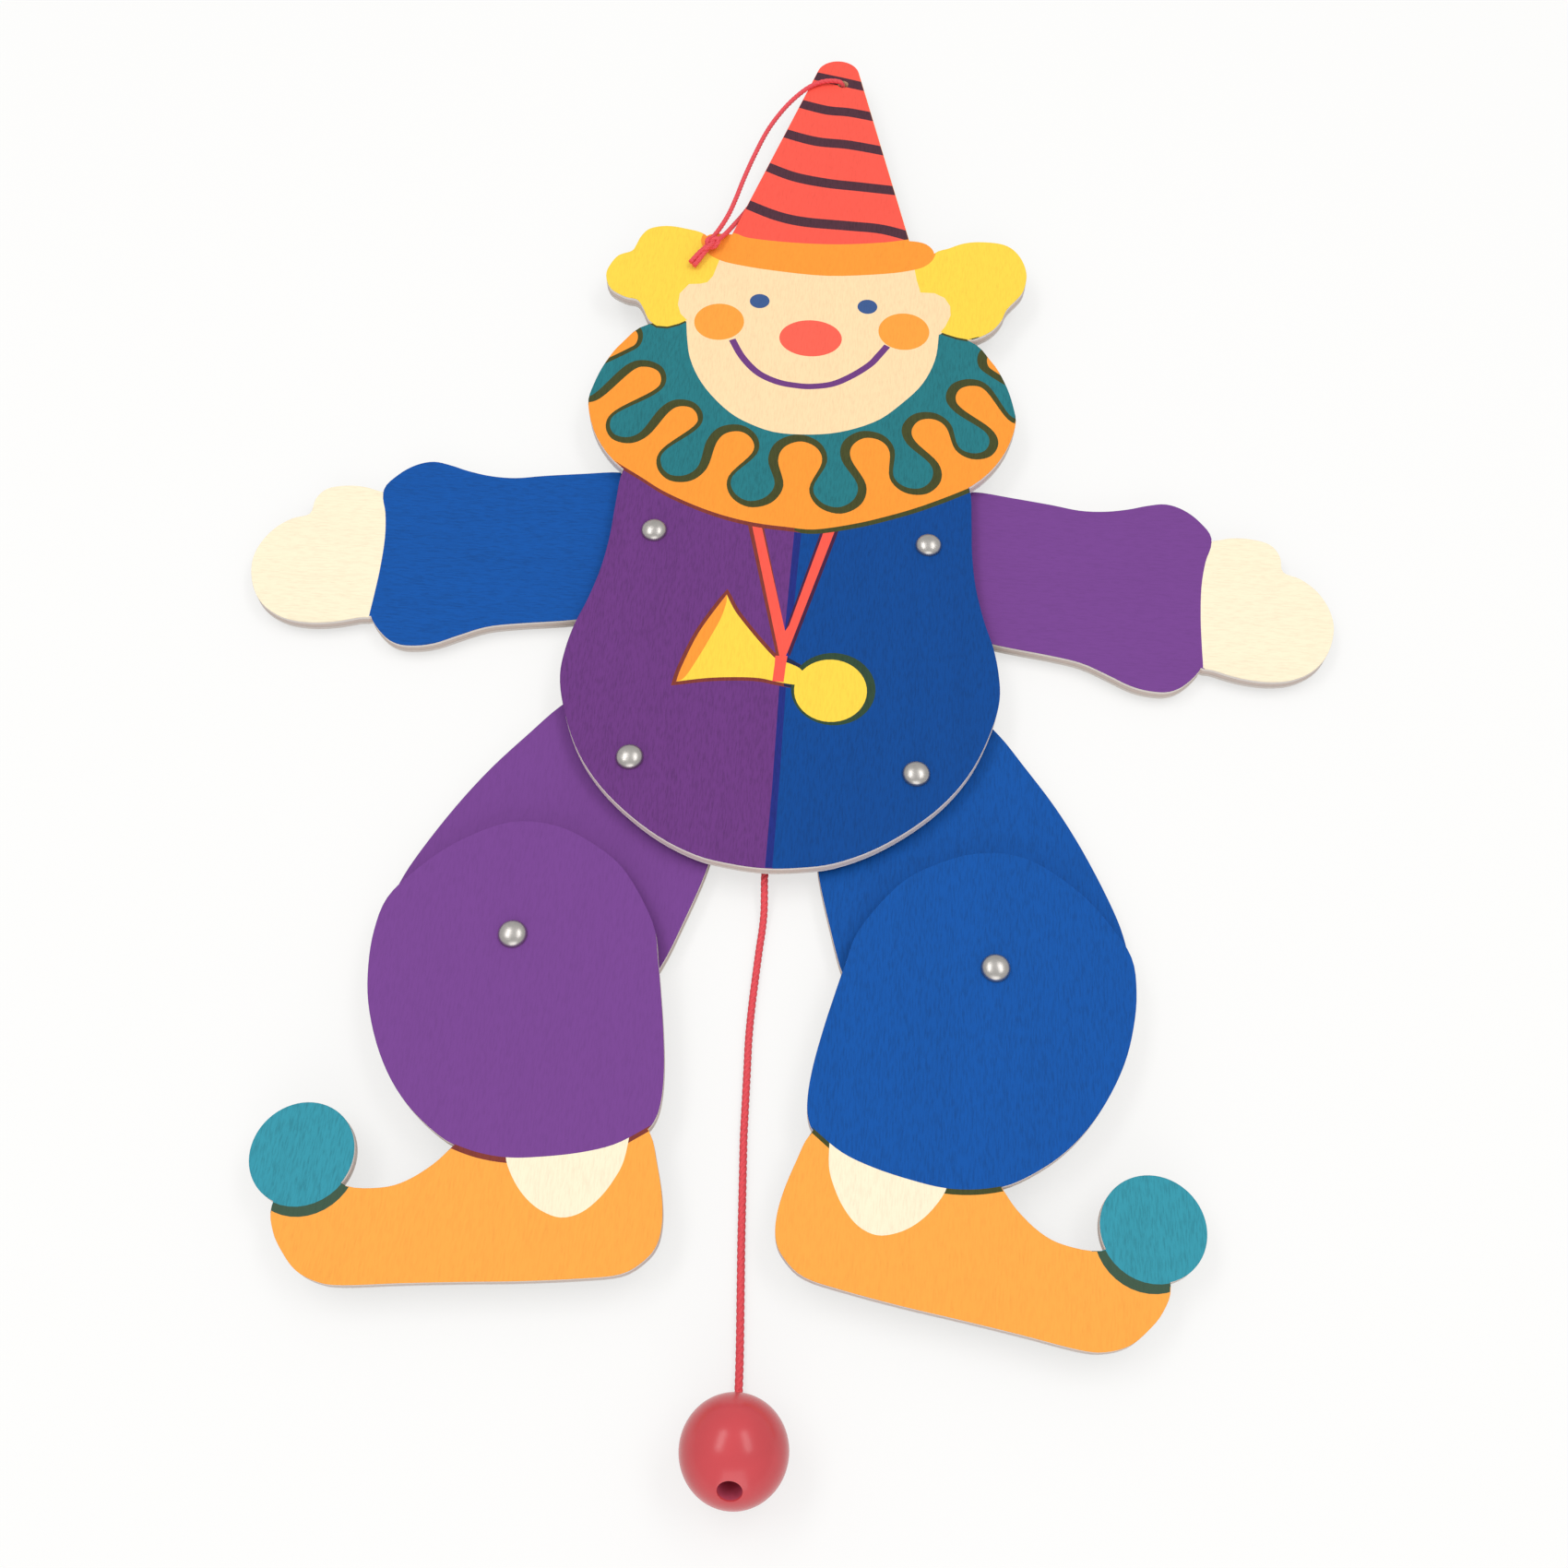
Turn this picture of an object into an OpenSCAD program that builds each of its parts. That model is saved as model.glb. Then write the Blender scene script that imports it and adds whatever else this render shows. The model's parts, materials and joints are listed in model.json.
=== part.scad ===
// Pull string jumping jack: a flat plywood clown with riveted limbs, lying face up.
// The origin is midway between the shoulder rivets, on the plane that the rivet tails rest on.
// +Z comes out of the printed face, +Y runs to the hat and +X to the viewer's right.

/* [Plywood] */
// Thickness of every plywood plate
ply_t = 3; // [2:0.1:5]

/* [Torso] */
// Half the width of the torso at its widest
torso_half_w = 50; // [45:1:60]
// From the shoulder line down to the lower edge of the torso
torso_drop = 87.5; // [82:0.5:100]
// Shoulder rivet from the middle of the body
shoulder_x = 33; // [30:0.5:38]
// Hip rivet from the middle of the body
hip_x = 31.9; // [30:0.1:36]
// From the shoulder line down to the hip rivets
hip_drop = 62.4; // [60:0.1:66]

/* [Head] */
// Half the width of the ruff collar
collar_half_w = 54; // [48:1:60]
// Half the height of the ruff collar
collar_half_h = 34.5; // [32:0.5:38]
// Middle of the collar above the shoulder line
collar_y = 38; // [36:0.5:40]
// Half the width of the face
face_half_w = 32.8; // [28:0.2:38]
// Middle of the cheeks above the shoulder line
face_y = 58; // [55:1:61]
// From the middle of the cheeks down to the chin
face_drop = 26; // [22:1:30]
// Half the width of each tuft of hair
hair_half_w = 14; // [12:0.5:18]
// Half the height of each tuft of hair
hair_half_h = 18; // [16:0.5:20]
// Left tuft's middle from the middle of the body
left_hair_x = 41; // [38:0.5:44]
// Right tuft's middle from the middle of the body
right_hair_x = 43; // [40:0.5:46]
// Middle of the tufts above the shoulder line
hair_y = 83.7; // [80:0.1:87]
// Half the length of the hat's brim
brim_half_w = 31.5; // [27:0.5:36]
// Half the thickness of the brim with its bend
brim_half_h = 7.2; // [6:0.1:9]
// Middle of the brim above the shoulder line
brim_y = 93.4; // [90:0.1:97]
// Half the width of the pointed hat where it meets the brim
hat_half_w = 24.3; // [20:0.5:27]
// From the brim's middle up to the centre of the hat's round tip
hat_h = 71.4; // [60:0.2:80]
// How far the hat's tip leans to the right
hat_lean = 2.8; // [0:0.2:6]
// Radius of the hat's round tip
hat_tip_r = 6.1; // [4.5:0.1:7]
// Diameter of the hanging hole
hang_hole_d = 3; // [2.6:0.1:4]
// The hanging hole below the centre of the round tip
hang_hole_drop = 3.6; // [2:0.1:5]
// The hanging hole to the right of the centre of the round tip
hang_hole_right = 1.6; // [0:0.1:2.5]

/* [Arms] */
// Shoulder rivet to fingertips
arm_length = 96; // [85:1:105]
// Half the height of the sleeve at its cuff
sleeve_half_h = 28; // [25:1:31]
// Angle of the left arm above its middle position
left_arm_rest = 0.6; // [-3:0.1:3]
// Angle of the right arm above its middle position
right_arm_rest = -0.4; // [-3:0.1:3]
// String hole in the arm from the shoulder rivet
arm_string_r = 7.6; // [7.2:0.1:8.5]
// Angle of the arm's string hole above the inward direction
arm_string_angle = 32; // [25:1:36]

/* [Legs] */
// Hip rivet to knee rivet
thigh_length = 48.2; // [46:0.1:54]
// Half the width of the thigh
thigh_half_w = 30; // [27:0.5:31]
// Left thigh's angle out from straight down
left_thigh_rest = 24.2; // [20:0.1:27]
// Right thigh's angle out from straight down
right_thigh_rest = 21.7; // [20:0.1:27]
// String hole in the thigh from the hip rivet
thigh_string_r = 19; // [17:0.1:20]
// Angle of the thigh's string hole above the inward direction
thigh_string_angle = 14; // [8:1:18]
// Half the width of the lower leg
shin_half_w = 32.5; // [30:0.5:34]
// Knee rivet down to the trouser hem
shin_drop = 47; // [44:0.5:50]
// Half the length of the shoe
shoe_half_l = 38; // [35:0.5:39]
// Knee rivet down to the sole
shoe_drop = 74; // [72:0.5:78]
// Radius of the pompom on the shoe's tip
pompom_r = 10.3; // [8:0.1:12]
// Left lower leg's angle out from its middle position
left_knee_rest = 2; // [-4:0.1:4]
// Right lower leg's angle out from its middle position
right_knee_rest = -2.5; // [-4:0.1:4]

/* [Rivets and washers] */
// Diameter of the domed rivet head
head_d = 6.2; // [5:0.1:8]
// Height of the domed rivet head
head_h = 2; // [1.4:0.1:2.4]
// Diameter of the rivet shank
shank_d = 3; // [2.4:0.1:3.4]
// Diameter of the peened tail
tail_d = 5; // [4.6:0.1:6.5]
// Height of the peened tail
tail_h = 0.8; // [0.5:0.1:1.2]
// Diameter of the washers
washer_d = 8; // [7.2:0.1:9]
// Thickness of the rear washer
washer_t = 0.8; // [0.5:0.1:1.2]
// Thickness of the spacer between two plates
spacer_t = 1.2; // [1.15:0.05:1.8]

/* [Strings] */
// Diameter of the limb strings
string_d = 1; // [0.8:0.05:1.1]
// Diameter of the pull cord
cord_d = 1.5; // [1.3:0.05:1.6]
// Diameter of the hanging loop's cord
loop_d = 1.2; // [1:0.05:1.4]
// Length of the tied ends of the hanging loop
tail_l = 8; // [5:0.5:12]
// Diameter of the string holes in the limbs
string_hole_d = 1.6; // [1.5:0.05:2]
// The arms' knot on the pull cord below the shoulder line
arm_knot_drop = 24; // [22:0.5:26]
// The legs' knot on the pull cord below the hip rivets
leg_knot_drop = 19.6; // [18:0.1:22]

/* [Bead] */
// Diameter of the pull bead
bead_d = 20; // [18:0.5:22]
// Diameter of the cord's hole through the bead
bead_hole_d = 2; // [1.8:0.1:2.4]
// Diameter of the recess that hides the knot
bead_recess_d = 4.4; // [4.2:0.1:6]
// Depth of the recess from the middle of the bead's hole outwards
bead_recess_start = 2.4; // [1:0.1:4]
// Slope of the bead's hole above the table
bead_slope = 42; // [38:1:44]

/* [Clearances] */
// Between a shank or a cord and its hole, all round
shank_gap = 0.05; // [0.03:0.01:0.09]
// Between a limb and the washers on each side of it
play = 0.1; // [0.05:0.01:0.15]
// Between the end of a limb string and the knot that it is tied to
string_gap = 0.6; // [0.5:0.05:0.8]

/* [Hidden] */
round_fn = 96;
curve_steps = 4;
cord_sides = 8;
overrun = 1;
left = -1;
right = 1;

// Heights of the stack above the plane of the rivet tails
limb_z = tail_h + washer_t + play;
spacer_z = limb_z + ply_t + play;
front_z = spacer_z + spacer_t;
front_top = front_z + ply_t;
string_z = limb_z + ply_t / 2;

// Outlines, as shares of the sizes that each follows
torso_shares = [
  [0, 0.35], [0.75, 0.35], [0.85, 0.21], [0.865, 0.09], [0.87, -0.02], [0.89, -0.13],
  [0.93, -0.235], [0.975, -0.32], [1, -0.4], [1.005, -0.48], [0.97, -0.57], [0.89, -0.685],
  [0.78, -0.78], [0.64, -0.86], [0.47, -0.93], [0.3, -0.975], [0.15, -0.993], [0, -1]
];
collar_shares = [
  [0, 1], [0.4, 0.97], [0.76, 0.82], [0.88, 0.62], [0.945, 0.42], [0.985, 0.2],
  [0.995, 0], [0.93, -0.3], [0.8, -0.555], [0.575, -0.77], [0.29, -0.935], [0, -1]
];
face_shares = [
  [0, 1.4], [0.8, 1.4], [1.07, 1.28], [1.12, 0.9], [1.1, 0.45], [0.98, 0.11], [0.94, -0.13], [0.855, -0.35],
  [0.735, -0.56], [0.58, -0.765], [0.41, -0.89], [0.215, -0.98], [0, -1]
];
left_hair_shares = [
  [0, -0.93], [-0.19, -0.65], [-0.32, -0.51], [-0.54, -0.47], [-0.84, -0.32], [-0.965, -0.07],
  [-0.93, 0.14], [-0.79, 0.35], [-0.55, 0.455], [-0.48, 0.595], [-0.415, 0.765], [-0.265, 0.93],
  [0.05, 1], [0.415, 0.965], [0.82, 0.855], [1.1, 0.5], [1.1, 0.26], [0.83, -0.13], [0.67, -0.855],
  [0.33, -1]
];
right_hair_shares = [
  [-0.78, 0.7], [-0.5, 0.82], [-0.235, 0.93], [0.065, 0.98], [0.47, 0.965], [0.715, 0.865],
  [0.895, 0.65], [0.98, 0.375], [0.945, 0.115], [0.855, -0.07], [0.615, -0.34], [0.515, -0.56],
  [0.365, -0.745], [0.155, -0.885], [-0.115, -0.97], [-0.52, -0.885], [-0.7, -0.7], [-1, -0.1],
  [-1.1, 0.3]
];
brim_shares = [
  [-0.97, 0.3], [-0.9, 0.82], [-0.7, 0.87], [-0.55, 0.72], [-0.18, 0.6], [0.21, 0.62],
  [0.585, 0.83], [0.8, 0.98], [0.95, 0.85], [1.02, 0.36], [0.95, -0.26], [0.86, -0.5],
  [0.6, -0.77], [0.13, -1], [-0.34, -0.86], [-0.8, -0.49], [-0.92, -0.12]
];
sleeve_shares = [
  [0.115, 0.73], [0.21, 0.69], [0.31, 0.64], [0.385, 0.595], [0.45, 0.6], [0.51, 0.64],
  [0.557, 0.69], [0.605, 0.72], [0.65, 0.67], [0.69, 0.55], [0.718, 0.375], [0.699, 0.12],
  [0.685, -0.14], [0.679, -0.46], [0.678, -0.75], [0.675, -0.95], [0.635, -1.13], [0.594, -1.215],
  [0.547, -1.22], [0.5, -1.18], [0.448, -1.09], [0.385, -0.99], [0.31, -0.935], [0.165, -0.855],
  [0.06, -0.74], [-0.03, -0.6], [-0.1, -0.35], [-0.13, 0], [-0.105, 0.3], [-0.03, 0.53],
  [0.05, 0.67]
];
hand_shares = [
  [0.66, 0.32], [0.72, 0.35], [0.769, 0.393], [0.82, 0.393], [0.865, 0.345], [0.887, 0.225],
  [0.892, 0.065], [0.934, 0], [0.972, -0.12], [0.998, -0.3], [1.004, -0.5], [0.985, -0.73],
  [0.948, -0.91], [0.893, -1.025], [0.832, -1.06], [0.767, -1.04], [0.704, -0.98], [0.665, -0.93],
  [0.64, -0.6], [0.65, -0.1]
];
// The thigh's points run from the hip at [0, 0] to the knee at [0, -1], outer side first
thigh_shares = [
  [0, 0.475], [0.37, 0.42], [0.62, 0.29], [0.75, 0.12], [0.83, -0.07], [0.92, -0.31],
  [0.975, -0.555], [1, -0.82], [0.99, -1], [0.93, -1.16], [0.79, -1.33], [0.56, -1.45],
  [0.28, -1.51], [0, -1.52], [-0.3, -1.49], [-0.58, -1.39], [-0.82, -1.17], [-0.95, -0.98],
  [-1, -0.8], [-0.97, -0.555], [-0.92, -0.31], [-0.83, -0.07], [-0.75, 0.12], [-0.62, 0.29],
  [-0.37, 0.42]
];
shin_shares = [
  [-0.154, 0.557], [-0.446, 0.472], [-0.668, 0.353], [-0.89, 0.123], [-0.96, -0.055],
  [-1.01, -0.209], [-1.055, -0.362], [-1.095, -0.532], [-1.108, -0.67], [-1.09, -0.766],
  [-1.03, -0.83], [-0.86, -0.896], [-0.66, -0.945], [-0.43, -0.979], [-0.23, -0.996],
  [-0.03, -0.985], [0.163, -0.949], [0.394, -0.843], [0.572, -0.717], [0.717, -0.56],
  [0.828, -0.38], [0.883, -0.21], [0.9, -0.043], [0.865, 0.12], [0.72, 0.27], [0.5, 0.423],
  [0.17, 0.553]
];
shoe_shares = [
  [-0.916, -0.531], [-0.971, -0.605], [-1.018, -0.686], [-1.04, -0.757], [-1.03, -0.816],
  [-0.976, -0.861], [-0.868, -0.901], [-0.663, -0.923], [-0.368, -0.945], [-0.08, -0.962],
  [0.218, -0.981], [0.5, -1.001], [0.63, -1], [0.75, -0.978], [0.842, -0.936], [0.916, -0.885],
  [0.953, -0.82], [0.9, -0.72], [0.74, -0.71], [0.6, -0.75], [0.42, -0.745], [0.297, -0.72],
  [0.176, -0.669], [0.092, -0.615], [0, -0.56], [-0.4, -0.5], [-0.8, -0.48]
];
pompom_share = [0.866, -0.677];

// Knots: turns of string laid side by side round what passes through
knot_turns = 3;
turn_pitch_share = 0.9;
// The limb strings leave the knots a little to each side of the pull cord
arm_tie_share = 0.8;
leg_tie_share = 1.07;
// A limb string's loop reaches from its hole past the limb's edge, with some slack
loop_reach_share = 1.3;
arm_loop_slack_share = 0.4;
leg_loop_slack_share = 0.01;

// Routes of the two cords that lie free, in millimetres
pull_route = [
  [0, -22.5, 3.2], [0, -40, 3.2], [0, -60, 3.2], [0, -80, 3.2], [0, -87, 3.2],
  [0.2, -90.5, 2.6], [0.4, -94.5, 1.5], [0.3, -98.5, 0.9], [0, -103, 0.8], [-0.3, -109, 0.8],
  [-0.6, -116, 0.8], [-0.7, -123, 0.8], [-0.5, -130, 0.8], [-0.3, -137, 0.8], [-0.1, -144, 0.8],
  [0.3, -151, 0.8], [0.7, -158, 0.8], [1.1, -165, 0.8], [1.5, -171, 0.8], [1.9, -177, 0.8],
  [2.3, -183, 0.8], [2.6, -188, 0.9], [2.8, -192, 1.4], [3, -196, 3.1], [3.1, -200, 6.5],
  [3.1, -203.9, 10], [3.1, -207, 12.8]
];
hang_route = [
  [-27.8, 95.4, 10.7], [-25.8, 99.8, 10.5], [-23.8, 106, 10.1], [-22.4, 113, 9.4],
  [-21, 121, 8.8], [-18.8, 131, 8.4], [-15.6, 142, 8.4], [-11, 151.5, 8.8], [-5.8, 158, 9.5],
  [-1.4, 160.7, 9.9], [2.4, 161.2, 9.9], [4, 161.2, 9.2], [4.4, 161.2, 7.5], [4, 161.2, 5.8],
  [2.4, 160.6, 5], [-1.2, 158, 4.9], [-5.6, 150, 4.9], [-9.8, 140, 4.9], [-13.4, 130, 4.9],
  [-16.8, 120, 5], [-20, 111.5, 5.8], [-22.2, 104.5, 8], [-24, 98.8, 10], [-25.9, 95, 11]
];
// Which way the tied ends point, and how far they splay
tail_turn = -126;
tail_splay = 9;

function sized(shares, size) = [for (s = shares) [s.x * size.x, s.y * size.y]];
function both_sides(half) =
  concat(half, [for (i = [len(half) - 2:-1:1]) [-half[i].x, half[i].y]]);
function blend_point(p, i, t) =
  let (n = len(p), a = p[(i - 1 + n) % n], b = p[i], c = p[(i + 1) % n], d = p[(i + 2) % n])
  b + (c - a) * t / 2 + (2 * a - 5 * b + 4 * c - d) * t * t / 2
  + (3 * b - a - 3 * c + d) * t * t * t / 2;
function smooth(p) =
  [for (i = [0:len(p) - 1]) for (k = [0:curve_steps - 1]) blend_point(p, i, k / curve_steps)];
function turned(p, a) = [p.x * cos(a) - p.y * sin(a), p.x * sin(a) + p.y * cos(a)];

// Places at rest; side is left or right
function shoulder_at(side) = [side * shoulder_x, 0];
function hip_at(side) = [side * hip_x, -hip_drop];
function arm_rest(side) = side == left ? left_arm_rest : right_arm_rest;
function thigh_rest(side) = side == left ? left_thigh_rest : right_thigh_rest;
function knee_rest(side) = side == left ? left_knee_rest : right_knee_rest;
function knee_at(side) =
  hip_at(side) + thigh_length * [side * sin(thigh_rest(side)), -cos(thigh_rest(side))];
function arm_hole_at(side) =
  shoulder_at(side) + arm_string_r * [-side * cos(arm_string_angle), sin(arm_string_angle)];
function thigh_hole_at(side) =
  hip_at(side) + thigh_string_r * [-side * cos(thigh_string_angle), sin(thigh_string_angle)];
sleeve_end = arm_length * -min([for (s = sleeve_shares) s.x]);
arm_loop_l = arm_string_r * arm_loop_slack_share
  + loop_reach_share * (sleeve_end - arm_string_r * cos(arm_string_angle));
leg_loop_l = thigh_string_r * leg_loop_slack_share
  + loop_reach_share * (thigh_half_w - thigh_string_r);
knot_turn_r = string_d / 2;
knot_pitch = string_d * turn_pitch_share;
function knot_length(turns) = (turns - 1) * knot_pitch + 2 * knot_turn_r;
arm_knot_at = [0, -arm_knot_drop];
leg_knot_at = [0, -hip_drop - leg_knot_drop];
function arm_tie_at(side) = arm_knot_at + [side * cord_d * arm_tie_share, 0];
function leg_tie_at(side) = leg_knot_at + [side * cord_d * leg_tie_share, 0];

// A cord along a route, as one closed surface
function tangent(p, i) =
  let (d = p[min(i + 1, len(p) - 1)] - p[max(i - 1, 0)]) d / norm(d);
function unit(v) = v / norm(v);
function ring(p, i, r) =
  let (
    t = tangent(p, i),
    guide = abs(t.z) > 0.9 ? [1, 0, 0] : [0, 0, 1],
    u = unit(cross(guide, t)),
    v = cross(t, u)
  )
  [for (k = [0:cord_sides - 1])
    let (a = 360 * (k + 0.5) / cord_sides) p[i] + r * (cos(a) * u + sin(a) * v)];
module cord(p, r) {
  n = len(p);
  points = [for (i = [0:n - 1]) each ring(p, i, r)];
  sides = [for (i = [0:n - 2]) for (k = [0:cord_sides - 1])
    let (a = i * cord_sides + k, b = i * cord_sides + (k + 1) % cord_sides)
    each [[a, b, b + cord_sides], [a, b + cord_sides, a + cord_sides]]];
  caps = [
    [for (k = [cord_sides - 1:-1:0]) k],
    [for (k = [0:cord_sides - 1]) (n - 1) * cord_sides + k]
  ];
  polyhedron(points = points, faces = [for (f = concat(sides, caps)) [for (q = [len(f) - 1:-1:0]) f[q]]]);
}

// A barrel knot along +X round a core of radius core_r, with its middle at the origin
module knot(core_r, turn_r, turns, bore_r = 0) {
  pitch = 2 * turn_r * turn_pitch_share;
  difference() {
    rotate([0, 90, 0]) {
      for (i = [0:turns - 1])
        translate([0, 0, (i - (turns - 1) / 2) * pitch])
          rotate_extrude($fn = round_fn) translate([core_r + turn_r, 0]) circle(r = turn_r, $fn = 24);
      cylinder(r = core_r + turn_r, h = turns * pitch, center = true, $fn = round_fn);
    }
    if (bore_r > 0)
      rotate([0, 90, 0])
        cylinder(r = bore_r, h = (turns + 2) * pitch, center = true, $fn = round_fn);
  }
}

module plate(z) { translate([0, 0, z]) linear_extrude(ply_t) children(); }
module through_hole(at, d, z) {
  translate([at.x, at.y, z - overrun])
    cylinder(d = d, h = ply_t + 2 * overrun, $fn = round_fn);
}
shank_hole_d = shank_d + 2 * shank_gap;

// Printed front plate: hat, brim, hair, face, collar and torso in one piece
module torso_outline() {
  polygon(smooth(both_sides(sized(torso_shares, [torso_half_w, torso_drop]))));
}
module collar_outline() {
  translate([0, collar_y])
    polygon(smooth(both_sides(sized(collar_shares, [collar_half_w, collar_half_h]))));
}
module face_outline() {
  translate([0, face_y])
    polygon(smooth(both_sides(sized(face_shares, [face_half_w, face_drop]))));
}
module hair_outline() {
  hair = [hair_half_w, hair_half_h];
  translate([-left_hair_x, hair_y]) polygon(smooth(sized(left_hair_shares, hair)));
  translate([right_hair_x, hair_y]) polygon(smooth(sized(right_hair_shares, hair)));
}
module brim_outline() {
  translate([0, brim_y]) polygon(smooth(sized(brim_shares, [brim_half_w, brim_half_h])));
}
hat_tip = [hat_lean, brim_y + hat_h];
module hat_outline() {
  rise = atan((hat_half_w + hat_lean) / hat_h);
  fall = atan((hat_half_w - hat_lean) / hat_h);
  tip_steps = 24;
  tip = [for (i = [0:tip_steps])
    let (a = 180 - rise - (180 - rise - fall) * i / tip_steps)
    hat_tip + hat_tip_r * [cos(a), sin(a)]];
  polygon(concat([[-hat_half_w, brim_y]], tip, [[hat_half_w + hat_lean, brim_y]]));
}
module body_plate() {
  color("burlywood") difference() {
    plate(front_z) {
      torso_outline();
      collar_outline();
      face_outline();
      hair_outline();
      brim_outline();
      hat_outline();
    }
    for (side = [left, right]) {
      through_hole(shoulder_at(side), shank_hole_d, front_z);
      through_hole(hip_at(side), shank_hole_d, front_z);
    }
    through_hole(hat_tip + [hang_hole_right, -hang_hole_drop], hang_hole_d, front_z);
  }
}

// Arms: a sleeve and a mitten hand, behind the front plate
module arm(side) {
  size = [arm_length, sleeve_half_h];
  hole = arm_string_r * [-cos(arm_string_angle + arm_rest(side)), sin(arm_string_angle + arm_rest(side))];
  translate(shoulder_at(side)) mirror([side == left ? 1 : 0, 0, 0]) rotate(arm_rest(side))
    difference() {
      plate(limb_z) {
        polygon(smooth(sized(sleeve_shares, size)));
        polygon(smooth(sized(hand_shares, size)));
      }
      through_hole([0, 0], shank_hole_d, limb_z);
      through_hole(hole, string_hole_d, limb_z);
    }
}
module left_arm() { color("royalblue") arm(left); }
module right_arm() { color("mediumorchid") arm(right); }

// Thighs: behind the front plate, with the lower legs riveted on in front
module thigh(side) {
  size = [thigh_half_w, thigh_length];
  angle = thigh_string_angle - thigh_rest(side);
  translate(hip_at(side)) mirror([side == left ? 1 : 0, 0, 0]) rotate(thigh_rest(side))
    difference() {
      plate(limb_z) polygon(smooth(sized(thigh_shares, size)));
      through_hole([0, 0], shank_hole_d, limb_z);
      through_hole([0, -thigh_length], shank_hole_d, limb_z);
      rotate(-2 * thigh_rest(side))
        through_hole(thigh_string_r * [-cos(angle), sin(angle)], string_hole_d, limb_z);
    }
}
module left_thigh() { color("mediumorchid") thigh(left); }
module right_thigh() { color("royalblue") thigh(right); }

// Lower legs: trouser leg, ankle, shoe and pompom in one plate
module lower_leg(side) {
  translate(knee_at(side)) mirror([side == left ? 1 : 0, 0, 0]) rotate(knee_rest(side))
    difference() {
      plate(front_z) {
        polygon(smooth(sized(shin_shares, [shin_half_w, shin_drop])));
        polygon(smooth(sized(shoe_shares, [shoe_half_l, shoe_drop])));
        translate(sized([pompom_share], [shoe_half_l, shoe_drop])[0])
          circle(r = pompom_r, $fn = round_fn);
      }
      through_hole([0, 0], shank_hole_d, front_z);
    }
}
module left_lower_leg() { color("mediumorchid") lower_leg(left); }
module right_lower_leg() { color("royalblue") lower_leg(right); }

// Rivets: domed head, shank and flat peened tail
module rivet(at) {
  dome_r = (head_h * head_h + head_d * head_d / 4) / (2 * head_h);
  color("silver") translate(at) {
    cylinder(d = tail_d, h = tail_h, $fn = round_fn);
    cylinder(d = shank_d, h = front_top + head_h / 2, $fn = round_fn);
    translate([0, 0, front_top])
      intersection() {
        translate([0, 0, head_h - dome_r]) sphere(r = dome_r, $fn = round_fn);
        cylinder(d = head_d, h = head_h, $fn = round_fn);
      }
  }
}
module left_shoulder_rivet() { rivet(shoulder_at(left)); }
module right_shoulder_rivet() { rivet(shoulder_at(right)); }
module left_hip_rivet() { rivet(hip_at(left)); }
module right_hip_rivet() { rivet(hip_at(right)); }
module left_knee_rivet() { rivet(knee_at(left)); }
module right_knee_rivet() { rivet(knee_at(right)); }

// Washers under the limbs and spacers between the plates
module disc(at, z, h, shade) {
  color(shade) translate([at.x, at.y, z])
    difference() {
      cylinder(d = washer_d, h = h, $fn = round_fn);
      translate([0, 0, -overrun]) cylinder(d = shank_hole_d, h = h + 2 * overrun, $fn = round_fn);
    }
}
module rear_washer(at) { disc(at, tail_h, washer_t, "lightgray"); }
module spacer(at) { disc(at, spacer_z, spacer_t, "tan"); }
module left_shoulder_washer() { rear_washer(shoulder_at(left)); }
module right_shoulder_washer() { rear_washer(shoulder_at(right)); }
module left_hip_washer() { rear_washer(hip_at(left)); }
module right_hip_washer() { rear_washer(hip_at(right)); }
module left_knee_washer() { rear_washer(knee_at(left)); }
module right_knee_washer() { rear_washer(knee_at(right)); }
module left_shoulder_spacer() { spacer(shoulder_at(left)); }
module right_shoulder_spacer() { spacer(shoulder_at(right)); }
module left_hip_spacer() { spacer(hip_at(left)); }
module right_hip_spacer() { spacer(hip_at(right)); }
module left_knee_spacer() { spacer(knee_at(left)); }
module right_knee_spacer() { spacer(knee_at(right)); }

// Limb strings: a loop through the limb's hole and round its edge, a knot, and a straight end
module limb_string(hole, tie, loop_l) {
  run = tie - hole;
  r = string_d / 2;
  bend_r = string_d;
  top = front_z - r - (front_z - limb_z - ply_t - string_d) / 2;
  bottom = limb_z - string_d;
  knot_l = knot_length(knot_turns);
  end_l = norm(run) - string_gap;
  far = loop_l - bend_r;
  color("firebrick") translate(hole) rotate(atan2(run.y, run.x)) {
    cord([
      [loop_l + r, 0, string_z + r], [far, 0, top], [r, 0, top], [0, 0, top - r],
      [0, 0, bottom + r], [r, 0, bottom], [far, 0, bottom], [loop_l + r, 0, string_z - r - shank_gap]
    ], r);
    translate([loop_l + knot_l / 2, 0, string_z]) knot(r, r, knot_turns);
    translate([loop_l + knot_l / 2, 0, string_z]) rotate([0, 90, 0])
      cylinder(r = r, h = end_l - loop_l - knot_l / 2, $fn = 24);
  }
}
module left_arm_string() {
  limb_string(arm_hole_at(left), arm_tie_at(left), arm_loop_l);
}
module right_arm_string() {
  limb_string(arm_hole_at(right), arm_tie_at(right), arm_loop_l);
}
module left_leg_string() {
  limb_string(thigh_hole_at(left), leg_tie_at(left), leg_loop_l);
}
module right_leg_string() {
  limb_string(thigh_hole_at(right), leg_tie_at(right), leg_loop_l);
}

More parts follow.
